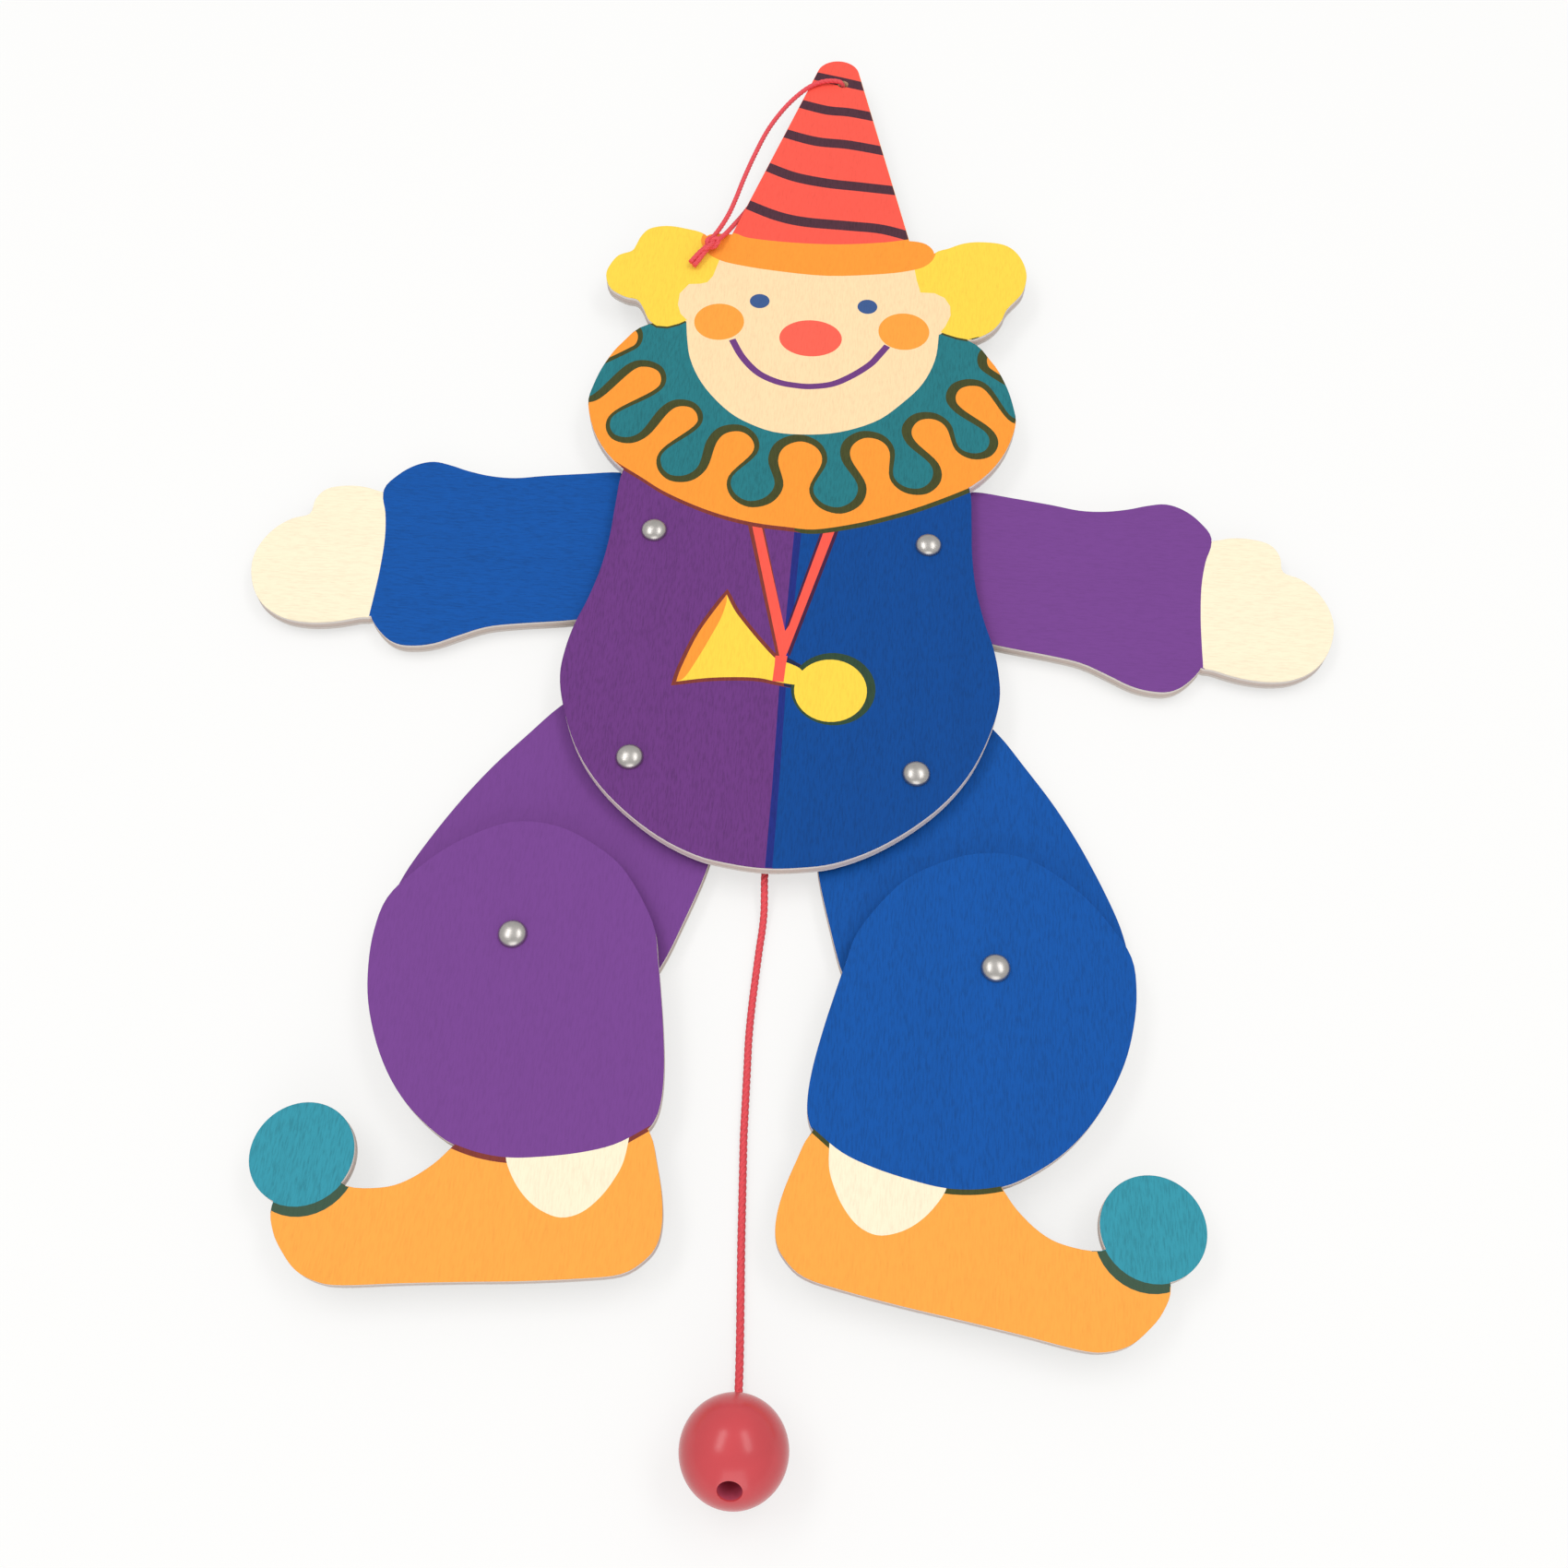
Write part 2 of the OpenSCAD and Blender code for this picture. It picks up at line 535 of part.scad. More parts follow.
// Knots on the pull cord, which hold the limb strings
module cord_knot(at) {
  r = cord_d / 2;
  length = knot_length(knot_turns);
  below = length / 2 + string_gap / 2;
  color("firebrick") translate([at.x, at.y - below, string_z]) rotate(90)
    knot(r + shank_gap, knot_turn_r, knot_turns, r + shank_gap);
}
module arm_knot() { cord_knot(arm_knot_at); }
module leg_knot() { cord_knot(leg_knot_at); }
module pull_cord() { color("crimson") cord(pull_route, cord_d / 2); }

// Bead: a drilled ball that lies on its side, with the knot hidden in its lower mouth
bead_at = [pull_route[len(pull_route) - 2].x, pull_route[len(pull_route) - 2].y, bead_d / 2];
module along_bead_hole() {
  translate(bead_at) rotate([90 - bead_slope, 0, 0]) children();
}
module pull_bead() {
  color("indianred") difference() {
    translate(bead_at) sphere(d = bead_d, $fn = round_fn);
    along_bead_hole() {
      cylinder(d = bead_hole_d, h = bead_d + 2 * overrun, center = true, $fn = round_fn);
      translate([0, 0, bead_recess_start]) cylinder(d = bead_recess_d, h = bead_d, $fn = round_fn);
    }
  }
}
module bead_knot() {
  color("crimson") along_bead_hole()
    translate([0, 0, bead_recess_start + knot_length(knot_turns) / 2]) rotate([0, 90, 0])
      knot(cord_d / 2 + shank_gap, knot_turn_r, knot_turns, cord_d / 2 + shank_gap);
}

// Hanging loop through the hole in the hat, tied off beside the brim
module hanging_loop() { color("crimson") cord(hang_route, loop_d / 2); }
module loop_knot() {
  r = loop_d / 2;
  meeting = (hang_route[0] + hang_route[len(hang_route) - 1]) / 2;
  knot_l = (knot_turns - 1) * loop_d * turn_pitch_share + loop_d;
  color("crimson") translate(meeting) rotate(tail_turn)
    translate([knot_l / 2 + string_gap, 0, 0]) {
      knot(r, r, knot_turns);
      for (side = [left, right])
        rotate(side * tail_splay) rotate([0, 90, 0]) cylinder(r = r, h = tail_l, $fn = 24);
    }
}

body_plate();
left_arm();
right_arm();
left_thigh();
right_thigh();
left_lower_leg();
right_lower_leg();
left_shoulder_rivet();
right_shoulder_rivet();
left_hip_rivet();
right_hip_rivet();
left_knee_rivet();
right_knee_rivet();
left_shoulder_washer();
right_shoulder_washer();
left_hip_washer();
right_hip_washer();
left_knee_washer();
right_knee_washer();
left_shoulder_spacer();
right_shoulder_spacer();
left_hip_spacer();
right_hip_spacer();
left_knee_spacer();
right_knee_spacer();
left_arm_string();
right_arm_string();
left_leg_string();
right_leg_string();
arm_knot();
leg_knot();
pull_cord();
pull_bead();
bead_knot();
hanging_loop();
loop_knot();
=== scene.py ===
"""Pull string jumping jack: a plywood clown that lies face up on a white table."""

import json
import math

import bmesh
import bpy
from mathutils import Matrix, Vector
from mathutils.geometry import delaunay_2d_cdt


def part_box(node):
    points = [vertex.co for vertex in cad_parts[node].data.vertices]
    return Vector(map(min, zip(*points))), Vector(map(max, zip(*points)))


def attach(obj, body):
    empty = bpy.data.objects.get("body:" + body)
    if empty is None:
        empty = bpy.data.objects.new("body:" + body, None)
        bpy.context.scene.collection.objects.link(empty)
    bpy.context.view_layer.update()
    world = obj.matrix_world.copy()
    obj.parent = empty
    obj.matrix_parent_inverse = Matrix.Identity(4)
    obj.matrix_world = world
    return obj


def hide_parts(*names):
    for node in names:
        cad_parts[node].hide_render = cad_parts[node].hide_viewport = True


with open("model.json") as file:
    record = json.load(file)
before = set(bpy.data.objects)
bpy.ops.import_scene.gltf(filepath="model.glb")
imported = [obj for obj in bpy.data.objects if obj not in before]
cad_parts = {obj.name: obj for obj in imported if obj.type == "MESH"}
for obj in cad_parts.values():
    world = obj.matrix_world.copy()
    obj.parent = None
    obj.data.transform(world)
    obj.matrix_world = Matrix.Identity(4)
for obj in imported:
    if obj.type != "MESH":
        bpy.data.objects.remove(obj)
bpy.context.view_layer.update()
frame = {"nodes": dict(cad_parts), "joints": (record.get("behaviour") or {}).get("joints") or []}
MM = 0.001
LEFT, RIGHT = -1, 1
SIDE_NAME = {LEFT: "left", RIGHT: "right"}


def put_in_scene(name, data):
    """An object that carries the data, in the scene at the origin."""
    made = bpy.data.objects.new(name, data)
    bpy.context.scene.collection.objects.link(made)
    return made


def stand_in(piece, body, *nodes):
    """The piece moves with the body, in the place of the CAD nodes."""
    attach(piece, body)
    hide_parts(*nodes)


# Camera: where the photograph was taken from, in millimetres from the table between the shoulders
CAMERA_AT = (14.17, -233.67, 323.57)
CAMERA_TILT = 28.0
CAMERA_TURN = 3.875
FOCAL_PX = 1750.0
PHOTO_PX = 1700.0
SENSOR_MM = 36.0
NEAREST_SEEN = 10.0

camera_data = bpy.data.cameras.new("photo_camera")
camera_data.sensor_width = SENSOR_MM
camera_data.lens = SENSOR_MM * FOCAL_PX / PHOTO_PX
camera_data.clip_start = NEAREST_SEEN * MM
camera = put_in_scene("photo_camera", camera_data)
camera.location = Vector(CAMERA_AT) * MM
camera.rotation_euler = (math.radians(CAMERA_TILT), 0.0, math.radians(CAMERA_TURN))
bpy.context.scene.camera = camera

# Cord routes, in millimetres
PULL_ROUTE = [
    (0, -22.5, 3.2), (0, -40, 3.2), (0, -60, 3.2), (0, -80, 3.2), (0, -87, 3.2),
    (0.2, -90.5, 2.6), (0.4, -94.5, 1.5), (0.3, -98.5, 0.9), (0, -103, 0.8),
    (-0.3, -109, 0.8), (-0.6, -116, 0.8), (-0.7, -123, 0.8), (-0.5, -130, 0.8),
    (-0.3, -137, 0.8), (-0.1, -144, 0.8), (0.3, -151, 0.8), (0.7, -158, 0.8),
    (1.1, -165, 0.8), (1.5, -171, 0.8), (1.9, -177, 0.8), (2.3, -183, 0.8),
    (2.6, -188, 0.9), (2.8, -192, 1.4), (3, -196, 3.1), (3.1, -200, 6.5),
    (3.1, -203.9, 10), (3.1, -207, 12.8),
]
HANG_ROUTE = [
    (-27.8, 95.4, 10.7), (-25.8, 99.8, 10.5), (-23.8, 106, 10.1), (-22.4, 113, 9.4),
    (-21, 121, 8.8), (-18.8, 131, 8.4), (-15.6, 142, 8.4), (-11, 151.5, 8.8),
    (-5.8, 158, 9.5), (-1.4, 160.7, 9.9), (2.4, 161.2, 9.9), (4, 161.2, 9.2),
    (4.4, 161.2, 7.5), (4, 161.2, 5.8), (2.4, 160.6, 5), (-1.2, 158, 4.9), (-5.6, 150, 4.9),
    (-9.8, 140, 4.9), (-13.4, 130, 4.9), (-16.8, 120, 5), (-20, 111.5, 5.8),
    (-22.2, 104.5, 8), (-24, 98.8, 10), (-25.9, 95, 11),
]
PULL_CORD_D = 1.5
HANG_CORD_D = 1.2

# Colours, as they look in even light, red green blue out of 255
INKS = {
    "purple": (110, 58, 130), "violet": (119, 68, 144), "mouth_purple": (112, 62, 128),
    "blue": (8, 73, 149), "limb_blue": (15, 85, 168), "navy": (34, 46, 130),
    "dark_blue": (34, 40, 74), "eye_blue": (62, 91, 143),
    "coral": (251, 92, 77), "nose_coral": (251, 101, 83), "rust": (134, 60, 52),
    "maroon": (74, 34, 66), "stripe": (84, 50, 62),
    "orange": (252, 155, 56), "cheek_orange": (252, 163, 65), "shoe_orange": (253, 169, 73),
    "yellow": (253, 214, 74), "face": (252, 220, 173), "cream": (253, 239, 208),
    "teal": (39, 123, 132), "pompom_teal": (56, 152, 171),
    "dark_green": (72, 76, 40), "moss": (64, 88, 70), "pine": (52, 76, 56),
}
PLY_PALE = (250, 240, 232)
PLY_CORE = (232, 214, 204)
PLY_BACK = (236, 212, 172)
CORD_RED = (233, 82, 90)
BEAD_RED = (203, 69, 75)
# The bead's hole: a darker, purpler red than the lacquer, painted shade for the hole's depth
BORE_SHADED_RED = (184, 74, 98)
SILVER = (186, 182, 177)
FIBRE = (176, 150, 112)


def linear(colour):
    """A screen colour as the linear colour that a shader takes."""
    shares = [c / 255 for c in colour]
    return [s / 12.92 if s <= 0.04045 else ((s + 0.055) / 1.055) ** 2.4 for s in shares] + [1.0]


def new_material(name, roughness, specular=0.5, metallic=0.0):
    """A new material, with its nodes, its links and its shader."""
    material = bpy.data.materials.new(name)
    material.use_nodes = True
    nodes = material.node_tree.nodes
    shader = nodes["Principled BSDF"]
    shader.inputs["Roughness"].default_value = roughness
    shader.inputs["Specular IOR Level"].default_value = specular
    shader.inputs["Metallic"].default_value = metallic
    return material, nodes, material.node_tree.links, shader


def add_node(nodes, kind, inputs=None, **settings):
    """A shader or geometry node with its properties and its unlinked inputs set."""
    made = nodes.new(kind)
    for name, value in settings.items():
        setattr(made, name, value)
    for name, value in (inputs or {}).items():
        made.inputs[name].default_value = value
    return made


# Wood: the marks of each kind have a number per metre, a share of it along the grain, and a detail
PORES = (3300, 0.13, 3)
FIGURE = (200, 0.1, 2)
MARK_ROUGHNESS = 0.6
PORE_RANGE = (0.44, 0.7)
PORE_SHARE = 0.8
FIGURE_SHARE = 0.4
# The pores' bump: its strength, and its depth in millimetres
PORE_BUMP = 0.12
PORE_DEPTH = 0.05
WOOD_SHEEN = 0.12


def grain_pattern(nodes, links, upright, marks):
    """Noise drawn out along the grain, from 0 to 1."""
    per_metre, along, detail = marks
    place = nodes.new("ShaderNodeTexCoord")
    turn = add_node(nodes, "ShaderNodeMapping",
                    {"Scale": (1, along, 1) if upright else (along, 1, 1)})
    noise = add_node(nodes, "ShaderNodeTexNoise",
                     {"Scale": per_metre, "Detail": detail, "Roughness": MARK_ROUGHNESS})
    links.new(place.outputs["Object"], turn.inputs["Vector"])
    links.new(turn.outputs["Vector"], noise.inputs["Vector"])
    return noise.outputs["Fac"]


def wood_material(name, pale, dark, upright, roughness):
    """Veneer or printed veneer: fine pores and broad figure between a pale and a dark shade."""
    material, nodes, links, shader = new_material(name, roughness, specular=WOOD_SHEEN)
    pore = grain_pattern(nodes, links, upright, PORES)
    figure = grain_pattern(nodes, links, upright, FIGURE)
    least, most = PORE_RANGE
    spread = add_node(nodes, "ShaderNodeMapRange", {"From Min": least, "From Max": most})
    links.new(pore, spread.inputs["Value"])
    share = add_node(nodes, "ShaderNodeMath", {1: FIGURE_SHARE}, operation="MULTIPLY")
    links.new(figure, share.inputs[0])
    both = add_node(nodes, "ShaderNodeMath", {1: PORE_SHARE}, operation="MULTIPLY_ADD")
    links.new(spread.outputs["Result"], both.inputs[0])
    links.new(share.outputs[0], both.inputs[2])
    mix = add_node(nodes, "ShaderNodeMix", {"A": linear(pale), "B": linear(dark)},
                   data_type="RGBA")
    links.new(both.outputs[0], mix.inputs["Factor"])
    links.new(mix.outputs["Result"], shader.inputs["Base Color"])
    bump = add_node(nodes, "ShaderNodeBump", {"Strength": PORE_BUMP, "Distance": PORE_DEPTH * MM})
    links.new(pore, bump.inputs["Height"])
    links.new(bump.outputs["Normal"], shader.inputs["Normal"])
    return material


def shade(colour, share):
    """The colour made darker or lighter by a share."""
    return tuple(max(0.0, min(255.0, c * share)) for c in colour)


# Printed inks: the lightest share of each, and the darkest of deep ones and of pale or bright ones.
# A pale ink's least part is over PALE_FROM, and a bright ink's greatest is over BRIGHT_FROM
INK_LIGHTEST = 1.01
DEEP_INK_DARKEST = 0.86
PALE_INK_DARKEST = 0.95
PALE_FROM = 60
BRIGHT_FROM = 240
INK_ROUGHNESS = 0.62
ink_materials = {}


def ink(name, upright):
    """The printed colour over veneer with an upright or a level grain."""
    key = name + ("_upright_grain" if upright else "_level_grain")
    if key not in ink_materials:
        colour = INKS[name]
        pale = min(colour) > PALE_FROM or max(colour) > BRIGHT_FROM
        darkest = PALE_INK_DARKEST if pale else DEEP_INK_DARKEST
        ink_materials[key] = wood_material(
            key, shade(colour, INK_LIGHTEST), shade(colour, darkest), upright, INK_ROUGHNESS)
    return ink_materials[key]


# The cut edge, from the back to the face: shares of the thickness and the colours there
GLUE = shade(PLY_CORE, 0.88)
PLY_BANDS = [
    (0, PLY_PALE), (0.28, PLY_PALE), (0.31, GLUE), (0.35, PLY_CORE),
    (0.65, PLY_CORE), (0.69, GLUE), (0.72, PLY_PALE), (1, PLY_PALE),
]
EDGE_FLECKS = 1500
EDGE_FLECK_SHARE = 0.12


def edge_material(name, bottom, top):
    """The cut edge of three-ply wood, with a darker core between two pale veneers."""
    material, nodes, links, shader = new_material(name, roughness=0.75, specular=0.25)
    place = nodes.new("ShaderNodeTexCoord")
    split = nodes.new("ShaderNodeSeparateXYZ")
    links.new(place.outputs["Object"], split.inputs["Vector"])
    height = add_node(nodes, "ShaderNodeMapRange", {"From Min": bottom, "From Max": top})
    links.new(split.outputs["Z"], height.inputs["Value"])
    ramp = nodes.new("ShaderNodeValToRGB")
    ramp.color_ramp.interpolation = "LINEAR"
    elements = ramp.color_ramp.elements
    while len(elements) < len(PLY_BANDS):
        elements.new(0.5)
    for element, (at, colour) in zip(elements, PLY_BANDS):
        element.position = at
        element.color = linear(colour)
    links.new(height.outputs["Result"], ramp.inputs["Fac"])
    fleck = add_node(nodes, "ShaderNodeTexNoise", {"Scale": EDGE_FLECKS})
    links.new(place.outputs["Object"], fleck.inputs["Vector"])
    dapple = add_node(nodes, "ShaderNodeMix", {"Factor": EDGE_FLECK_SHARE},
                      data_type="RGBA", blend_type="MULTIPLY")
    links.new(ramp.outputs["Color"], dapple.inputs["A"])
    links.new(fleck.outputs["Fac"], dapple.inputs["B"])
    links.new(dapple.outputs["Result"], shader.inputs["Base Color"])
    return material


def plain_material(name, colour, roughness, metallic=0.0, specular=0.5, mottle=0.08, scale=900):
    """One colour with a slight mottle."""
    material, nodes, links, shader = new_material(name, roughness, specular, metallic)
    place = nodes.new("ShaderNodeTexCoord")
    noise = add_node(nodes, "ShaderNodeTexNoise", {"Scale": scale})
    links.new(place.outputs["Object"], noise.inputs["Vector"])
    mix = add_node(nodes, "ShaderNodeMix", {"A": linear(shade(colour, 1 - mottle)),
                                            "B": linear(shade(colour, 1 + mottle))},
                   data_type="RGBA")
    links.new(noise.outputs["Fac"], mix.inputs["Factor"])
    links.new(mix.outputs["Result"], shader.inputs["Base Color"])
    return material


rivet_metal = plain_material("rivet_metal", SILVER, 0.34, metallic=1.0, mottle=0.05)
washer_metal = plain_material("washer_metal", SILVER, 0.4, metallic=1.0, mottle=0.05)
spacer_fibre = plain_material("spacer_fibre", FIBRE, 0.8)
cord_red = plain_material("cord_red", CORD_RED, 0.75, specular=0.3, mottle=0.12, scale=2500)
thread_red = plain_material("thread_red", CORD_RED, 0.8, specular=0.3, mottle=0.12, scale=2500)
bead_lacquer = plain_material("bead_lacquer", BEAD_RED, 0.24, specular=0.45, mottle=0.05, scale=120)
# The bead's hole: matt, in a darker purple-red that is painted shade
bead_bore_painted_shade = plain_material("bead_bore_painted_shade", BORE_SHADED_RED, 0.8, specular=0.1, scale=600)

# Outlines, with tolerances in metres
SAME_HEIGHT = 1e-6
SAME_PLACE = 2e-7
CUT_FINENESS = 1e-7
PLACE_DECIMALS = 7
# A corner's normals that add up to less than this cancel out
NO_LENGTH = 1e-6
# An inset corner's reach is divided by no less than this, so that it makes no spike
SHARPEST_CORNER = 0.6


def smooth_curve(points, steps=4, closed=False):
    """A curve that passes through every point."""
    points = [Vector(p) for p in points]
    count = len(points)

    def point(k):
        """The point with this number, past the ends too."""
        return points[k % count] if closed else points[max(0, min(count - 1, k))]

    found = []
    for i in range(count if closed else count - 1):
        a, b, c, d = (point(i + k) for k in (-1, 0, 1, 2))
        for k in range(steps):
            t = k / steps
            found.append(b + (c - a) * t / 2 + (2 * a - 5 * b + 4 * c - d) * t ** 2 / 2
                         + (3 * b - a - 3 * c + d) * t ** 3 / 2)
    return found if closed else found + [points[-1]]


def disc(x, y, radius_x, radius_y=None, steps=40):
    """A round or oval print."""
    radius_y = radius_y or radius_x
    turns = [2 * math.pi * k / steps for k in range(steps)]
    return [(x + radius_x * math.cos(t), y + radius_y * math.sin(t)) for t in turns]


def stroke(points, widths):
    """A line of ink along points, with its width at the start, the middle and the end."""
    line = smooth_curve(points, steps=6)
    upper, lower = [], []
    for i, at in enumerate(line):
        ahead = line[min(i + 1, len(line) - 1)] - line[max(i - 1, 0)]
        across = Vector((-ahead.y, ahead.x)).normalized()
        share = 2 * i / (len(line) - 1)
        first, middle, last = widths
        width = first + (middle - first) * share if share < 1 else (
            middle + (last - middle) * (share - 1))
        upper.append(at + across * width / 2)
        lower.append(at - across * width / 2)
    return upper + lower[::-1]


def top_loops(node, top):
    """The outline and the holes of a plate's upper face, as closed loops in metres."""
    mesh = frame["nodes"][node].data
    key = {}
    ids = [key.setdefault(tuple(round(c, PLACE_DECIMALS) for c in v.co), len(key))
           for v in mesh.vertices]
    places = [Vector(k) for k in key]
    after = {}
    edges = set()
    for face in mesh.polygons:
        corners = [ids[v] for v in face.vertices]
        if all(abs(places[c].z - top) < SAME_HEIGHT for c in corners):
            edges |= {(corners[k - 1], corners[k]) for k in range(len(corners))}
    for a, b in edges:
        if (b, a) not in edges:
            after[a] = b
    loops = []
    while after:
        start, at = next(iter(after.items()))
        loop = [start]
        del after[start]
        while at != start:
            loop.append(at)
            at = after.pop(at)
        loops.append([places[i].xy for i in loop])
    return sorted(loops, key=lambda loop: -abs(area(loop)))


def area(loop):
    """The signed area of a closed loop."""
    return sum(loop[i - 1].x * p.y - p.x * loop[i - 1].y for i, p in enumerate(loop)) / 2


def inset(loop, distance):
    """The loop moved into the wood, which lies on its left."""
    moved = []
    for i, at in enumerate(loop):
        before = (at - loop[i - 1]).normalized()
        ahead = (loop[(i + 1) % len(loop)] - at).normalized()
        normal = Vector((-before.y - ahead.y, before.x + ahead.x))
        normal = normal.normalized() if normal.length > NO_LENGTH else Vector((-before.y, before.x))
        bend = max(SHARPEST_CORNER, normal.dot(Vector((-ahead.y, ahead.x))))
        moved.append(at + normal * distance / bend)
    return moved


def inside(at, outline):
    """Whether a place lies in a closed outline."""
    found = False
    for i, (x, y) in enumerate(outline):
        last_x, last_y = outline[i - 1]
        if (y > at.y) != (last_y > at.y) and at.x < (last_x - x) * (at.y - y) / (last_y - y) + x:
            found = not found
    return found


def topmost(at, base, prints):
    """The ink on a place, in metres, of a plate's face."""
    place = at / MM
    for name, outline in reversed(prints):
        if inside(place, [p[:2] for p in outline]):
            return name
    return base


def printed_face(loops, prints):
    """Triangles of a flat face cut along every print, each with the number of the topmost one."""
    points, faces = [], []
    shapes = [[Vector(p) * MM for p in shape] for _, shape in prints]
    for outline in [*loops, *shapes]:
        outline = outline if area(outline) > 0 else outline[::-1]
        faces.append(list(range(len(points), len(points) + len(outline))))
        points += [Vector(p[:2]) for p in outline]
    cut = delaunay_2d_cdt(points, [], faces, 0, CUT_FINENESS, True)
    places, _, triangles, _, _, covers = cut
    kept = []
    for triangle, regions in zip(triangles, covers):
        if 0 in regions and not any(0 < r < len(loops) for r in regions):
            inks = [r - len(loops) for r in regions if r >= len(loops)]
            kept.append((triangle, max(inks) + 1 if inks else 0))
    return places, kept


# The plywood's softened edges, in millimetres, and how far round the middle ring of each lies
EDGE_ROUND = 0.12
MIDDLE_RING_SHARE = 0.3
# The steps down an edge that still carry ink
PRINTED_STEPS = (0, 1)
# A face this upright in its normal is part of the board's flat front or back and is shaded flat
LEVEL = 0.9999
front_low, front_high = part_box("body_plate")
rear_low, rear_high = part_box("left_arm")
rim_front = edge_material("rim_front_layer", front_low.z, front_high.z)
rim_rear = edge_material("rim_rear_layer", rear_low.z, rear_high.z)
BACK_DARK = shade(PLY_BACK, 0.86)
BACK_ROUGHNESS = 0.75
plywood_back_upright = wood_material(
    "birch_back_upright", PLY_BACK, BACK_DARK, upright=True, roughness=BACK_ROUGHNESS)
plywood_back_level = wood_material(
    "birch_back_level", PLY_BACK, BACK_DARK, upright=False, roughness=BACK_ROUGHNESS)


def clean(mesh, angle=35):
    """Merges doubled corners and shades smoothly up to an angle, in degrees."""
    work = bmesh.new()
    work.from_mesh(mesh)
    bmesh.ops.remove_doubles(work, verts=work.verts, dist=SAME_PLACE)
    loose = [v for v in work.verts if not v.link_faces]
    bmesh.ops.delete(work, geom=loose, context="VERTS")
    bmesh.ops.recalc_face_normals(work, faces=work.faces)
    work.to_mesh(mesh)
    work.free()
    mesh.shade_smooth()
    mesh.set_sharp_from_angle(angle=math.radians(angle))


def printed_plate(node, base, prints, upright):
    """A plywood plate: printed face, softened edges, three-ply rim and bare back."""
    low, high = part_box(node)
    loops = top_loops(node, high.z)
    if area(loops[0]) < 0:
        loops = [loop[::-1] for loop in loops]
    bare = plywood_back_upright if upright else plywood_back_level
    rim = rim_front if low.z > rear_high.z else rim_rear
    names = [base] + sorted({name for name, _ in prints})
    materials = [ink(name, upright) for name in names] + [rim, bare]
    rim_index, bare_index = len(names), len(names) + 1
    round_off = EDGE_ROUND * MM
    vertices, polygons, material_of = [], [], []

    def add_face(height, outline_loops, shapes, up):
        """Adds the plate's flat face or back, cut along the shapes."""
        places, kept = printed_face(outline_loops, shapes)
        start = len(vertices)
        vertices.extend((p.x, p.y, height) for p in places)
        for triangle, which in kept:
            corners = [start + v for v in triangle]
            polygons.append(corners if up else corners[::-1])
            name = base if which == 0 else prints[which - 1][0]
            material_of.append(names.index(name) if up else bare_index)

    flat_loops = [inset(loop, round_off) for loop in loops]
    add_face(high.z, flat_loops, prints, up=True)
    add_face(low.z, flat_loops, [], up=False)
    middle = MIDDLE_RING_SHARE
    steps = [(high.z, 1.0), (high.z - round_off * middle, middle), (high.z - round_off, 0.0),
             (low.z + round_off, 0.0), (low.z + round_off * middle, middle), (low.z, 1.0)]
    for loop in loops:
        count = len(loop)
        wall = rim_index if loop is loops[0] else bare_index
        inks = [names.index(topmost(p, base, prints)) for p in inset(loop, 2 * round_off)]
        rings = []
        for height, share in steps:
            rings.append(len(vertices))
            vertices.extend((p.x, p.y, height) for p in inset(loop, round_off * share))
        for step, (upper, lower) in enumerate(zip(rings, rings[1:])):
            for i in range(count):
                j = (i + 1) % count
                polygons.append([upper + j, upper + i, lower + i, lower + j])
                material_of.append(inks[i] if step in PRINTED_STEPS else wall)
    name = node + "_plywood"
    mesh = bpy.data.meshes.new(name)
    mesh.from_pydata(vertices, [], polygons)
    for material in materials:
        mesh.materials.append(material)
    mesh.polygons.foreach_set("material_index", material_of)
    plate = put_in_scene(name, mesh)
    clean(mesh)
    for face in mesh.polygons:
        if abs(face.normal.z) > LEVEL:
            face.use_smooth = False
    return plate


# Prints of the front plate, in millimetres
# The ruff: orange heads and teal drops take turns along it, each a centre and a half width
RUFF_HEADS = [
    (-48.6, 60.5, 4.3), (-41, 46.7, 4.3), (-30, 34.7, 3.9), (-15.9, 26.5, 4.7), (0.7, 23.4, 5.4),
    (18, 26.4, 4.9), (32.8, 34.1, 4.5), (43.5, 46, 4.3), (51.4, 59, 4.3),
]
RUFF_DROPS = [
    (-54, 44.5, 5.2), (-42.1, 32.9, 5.9), (-27.9, 22.4, 6.4), (-9.7, 16.7, 6.9),
    (10.4, 16.3, 7), (28.9, 22.5, 6.5), (43.3, 33.4, 5.7), (55, 44.5, 5.2),
]
RUFF_CENTRE = (0, 85)
LOBE_TALL = 1.18
# Half of a head or drop, as places in shares of its half width and half height
LOBE_SHARES = ((-1, 0), (-0.74, 0.7), (0, 1), (0.74, 0.7), (1, 0))
WAVE_SIDE, WAVE_TOP = 75, 80
# The teal inside the wave's dark line: how much larger its heads are and its drops, and its shift
TEAL_WAVE = (1.9, -1.6, (-0.6, 0.3))


def ruff_wave(head_grow, drop_grow, shift):
    """The print's edge, over each head and under each drop, with necks that flow between them."""
    lobes = []
    for head, drop in zip(RUFF_HEADS, RUFF_DROPS):
        lobes += [(head, head_grow, 1), (drop, drop_grow, -1)]
    lobes.append((RUFF_HEADS[-1], head_grow, 1))
    line = []
    for (x, y, half), grow, way in lobes:
        inward = Vector((RUFF_CENTRE[0] - x, RUFF_CENTRE[1] - y)).normalized()
        across = Vector((inward.y, -inward.x))
        wide, tall = half + grow, (half * LOBE_TALL + grow) * way
        for over, up in LOBE_SHARES:
            line.append(Vector((x + shift[0], y + shift[1])) + across * over * wide
                        + inward * up * tall)
    line = smooth_curve(line, steps=5)
    return ([(-WAVE_SIDE, line[0].y)] + line
            + [(WAVE_SIDE, line[-1].y), (WAVE_SIDE, WAVE_TOP), (-WAVE_SIDE, WAVE_TOP)])


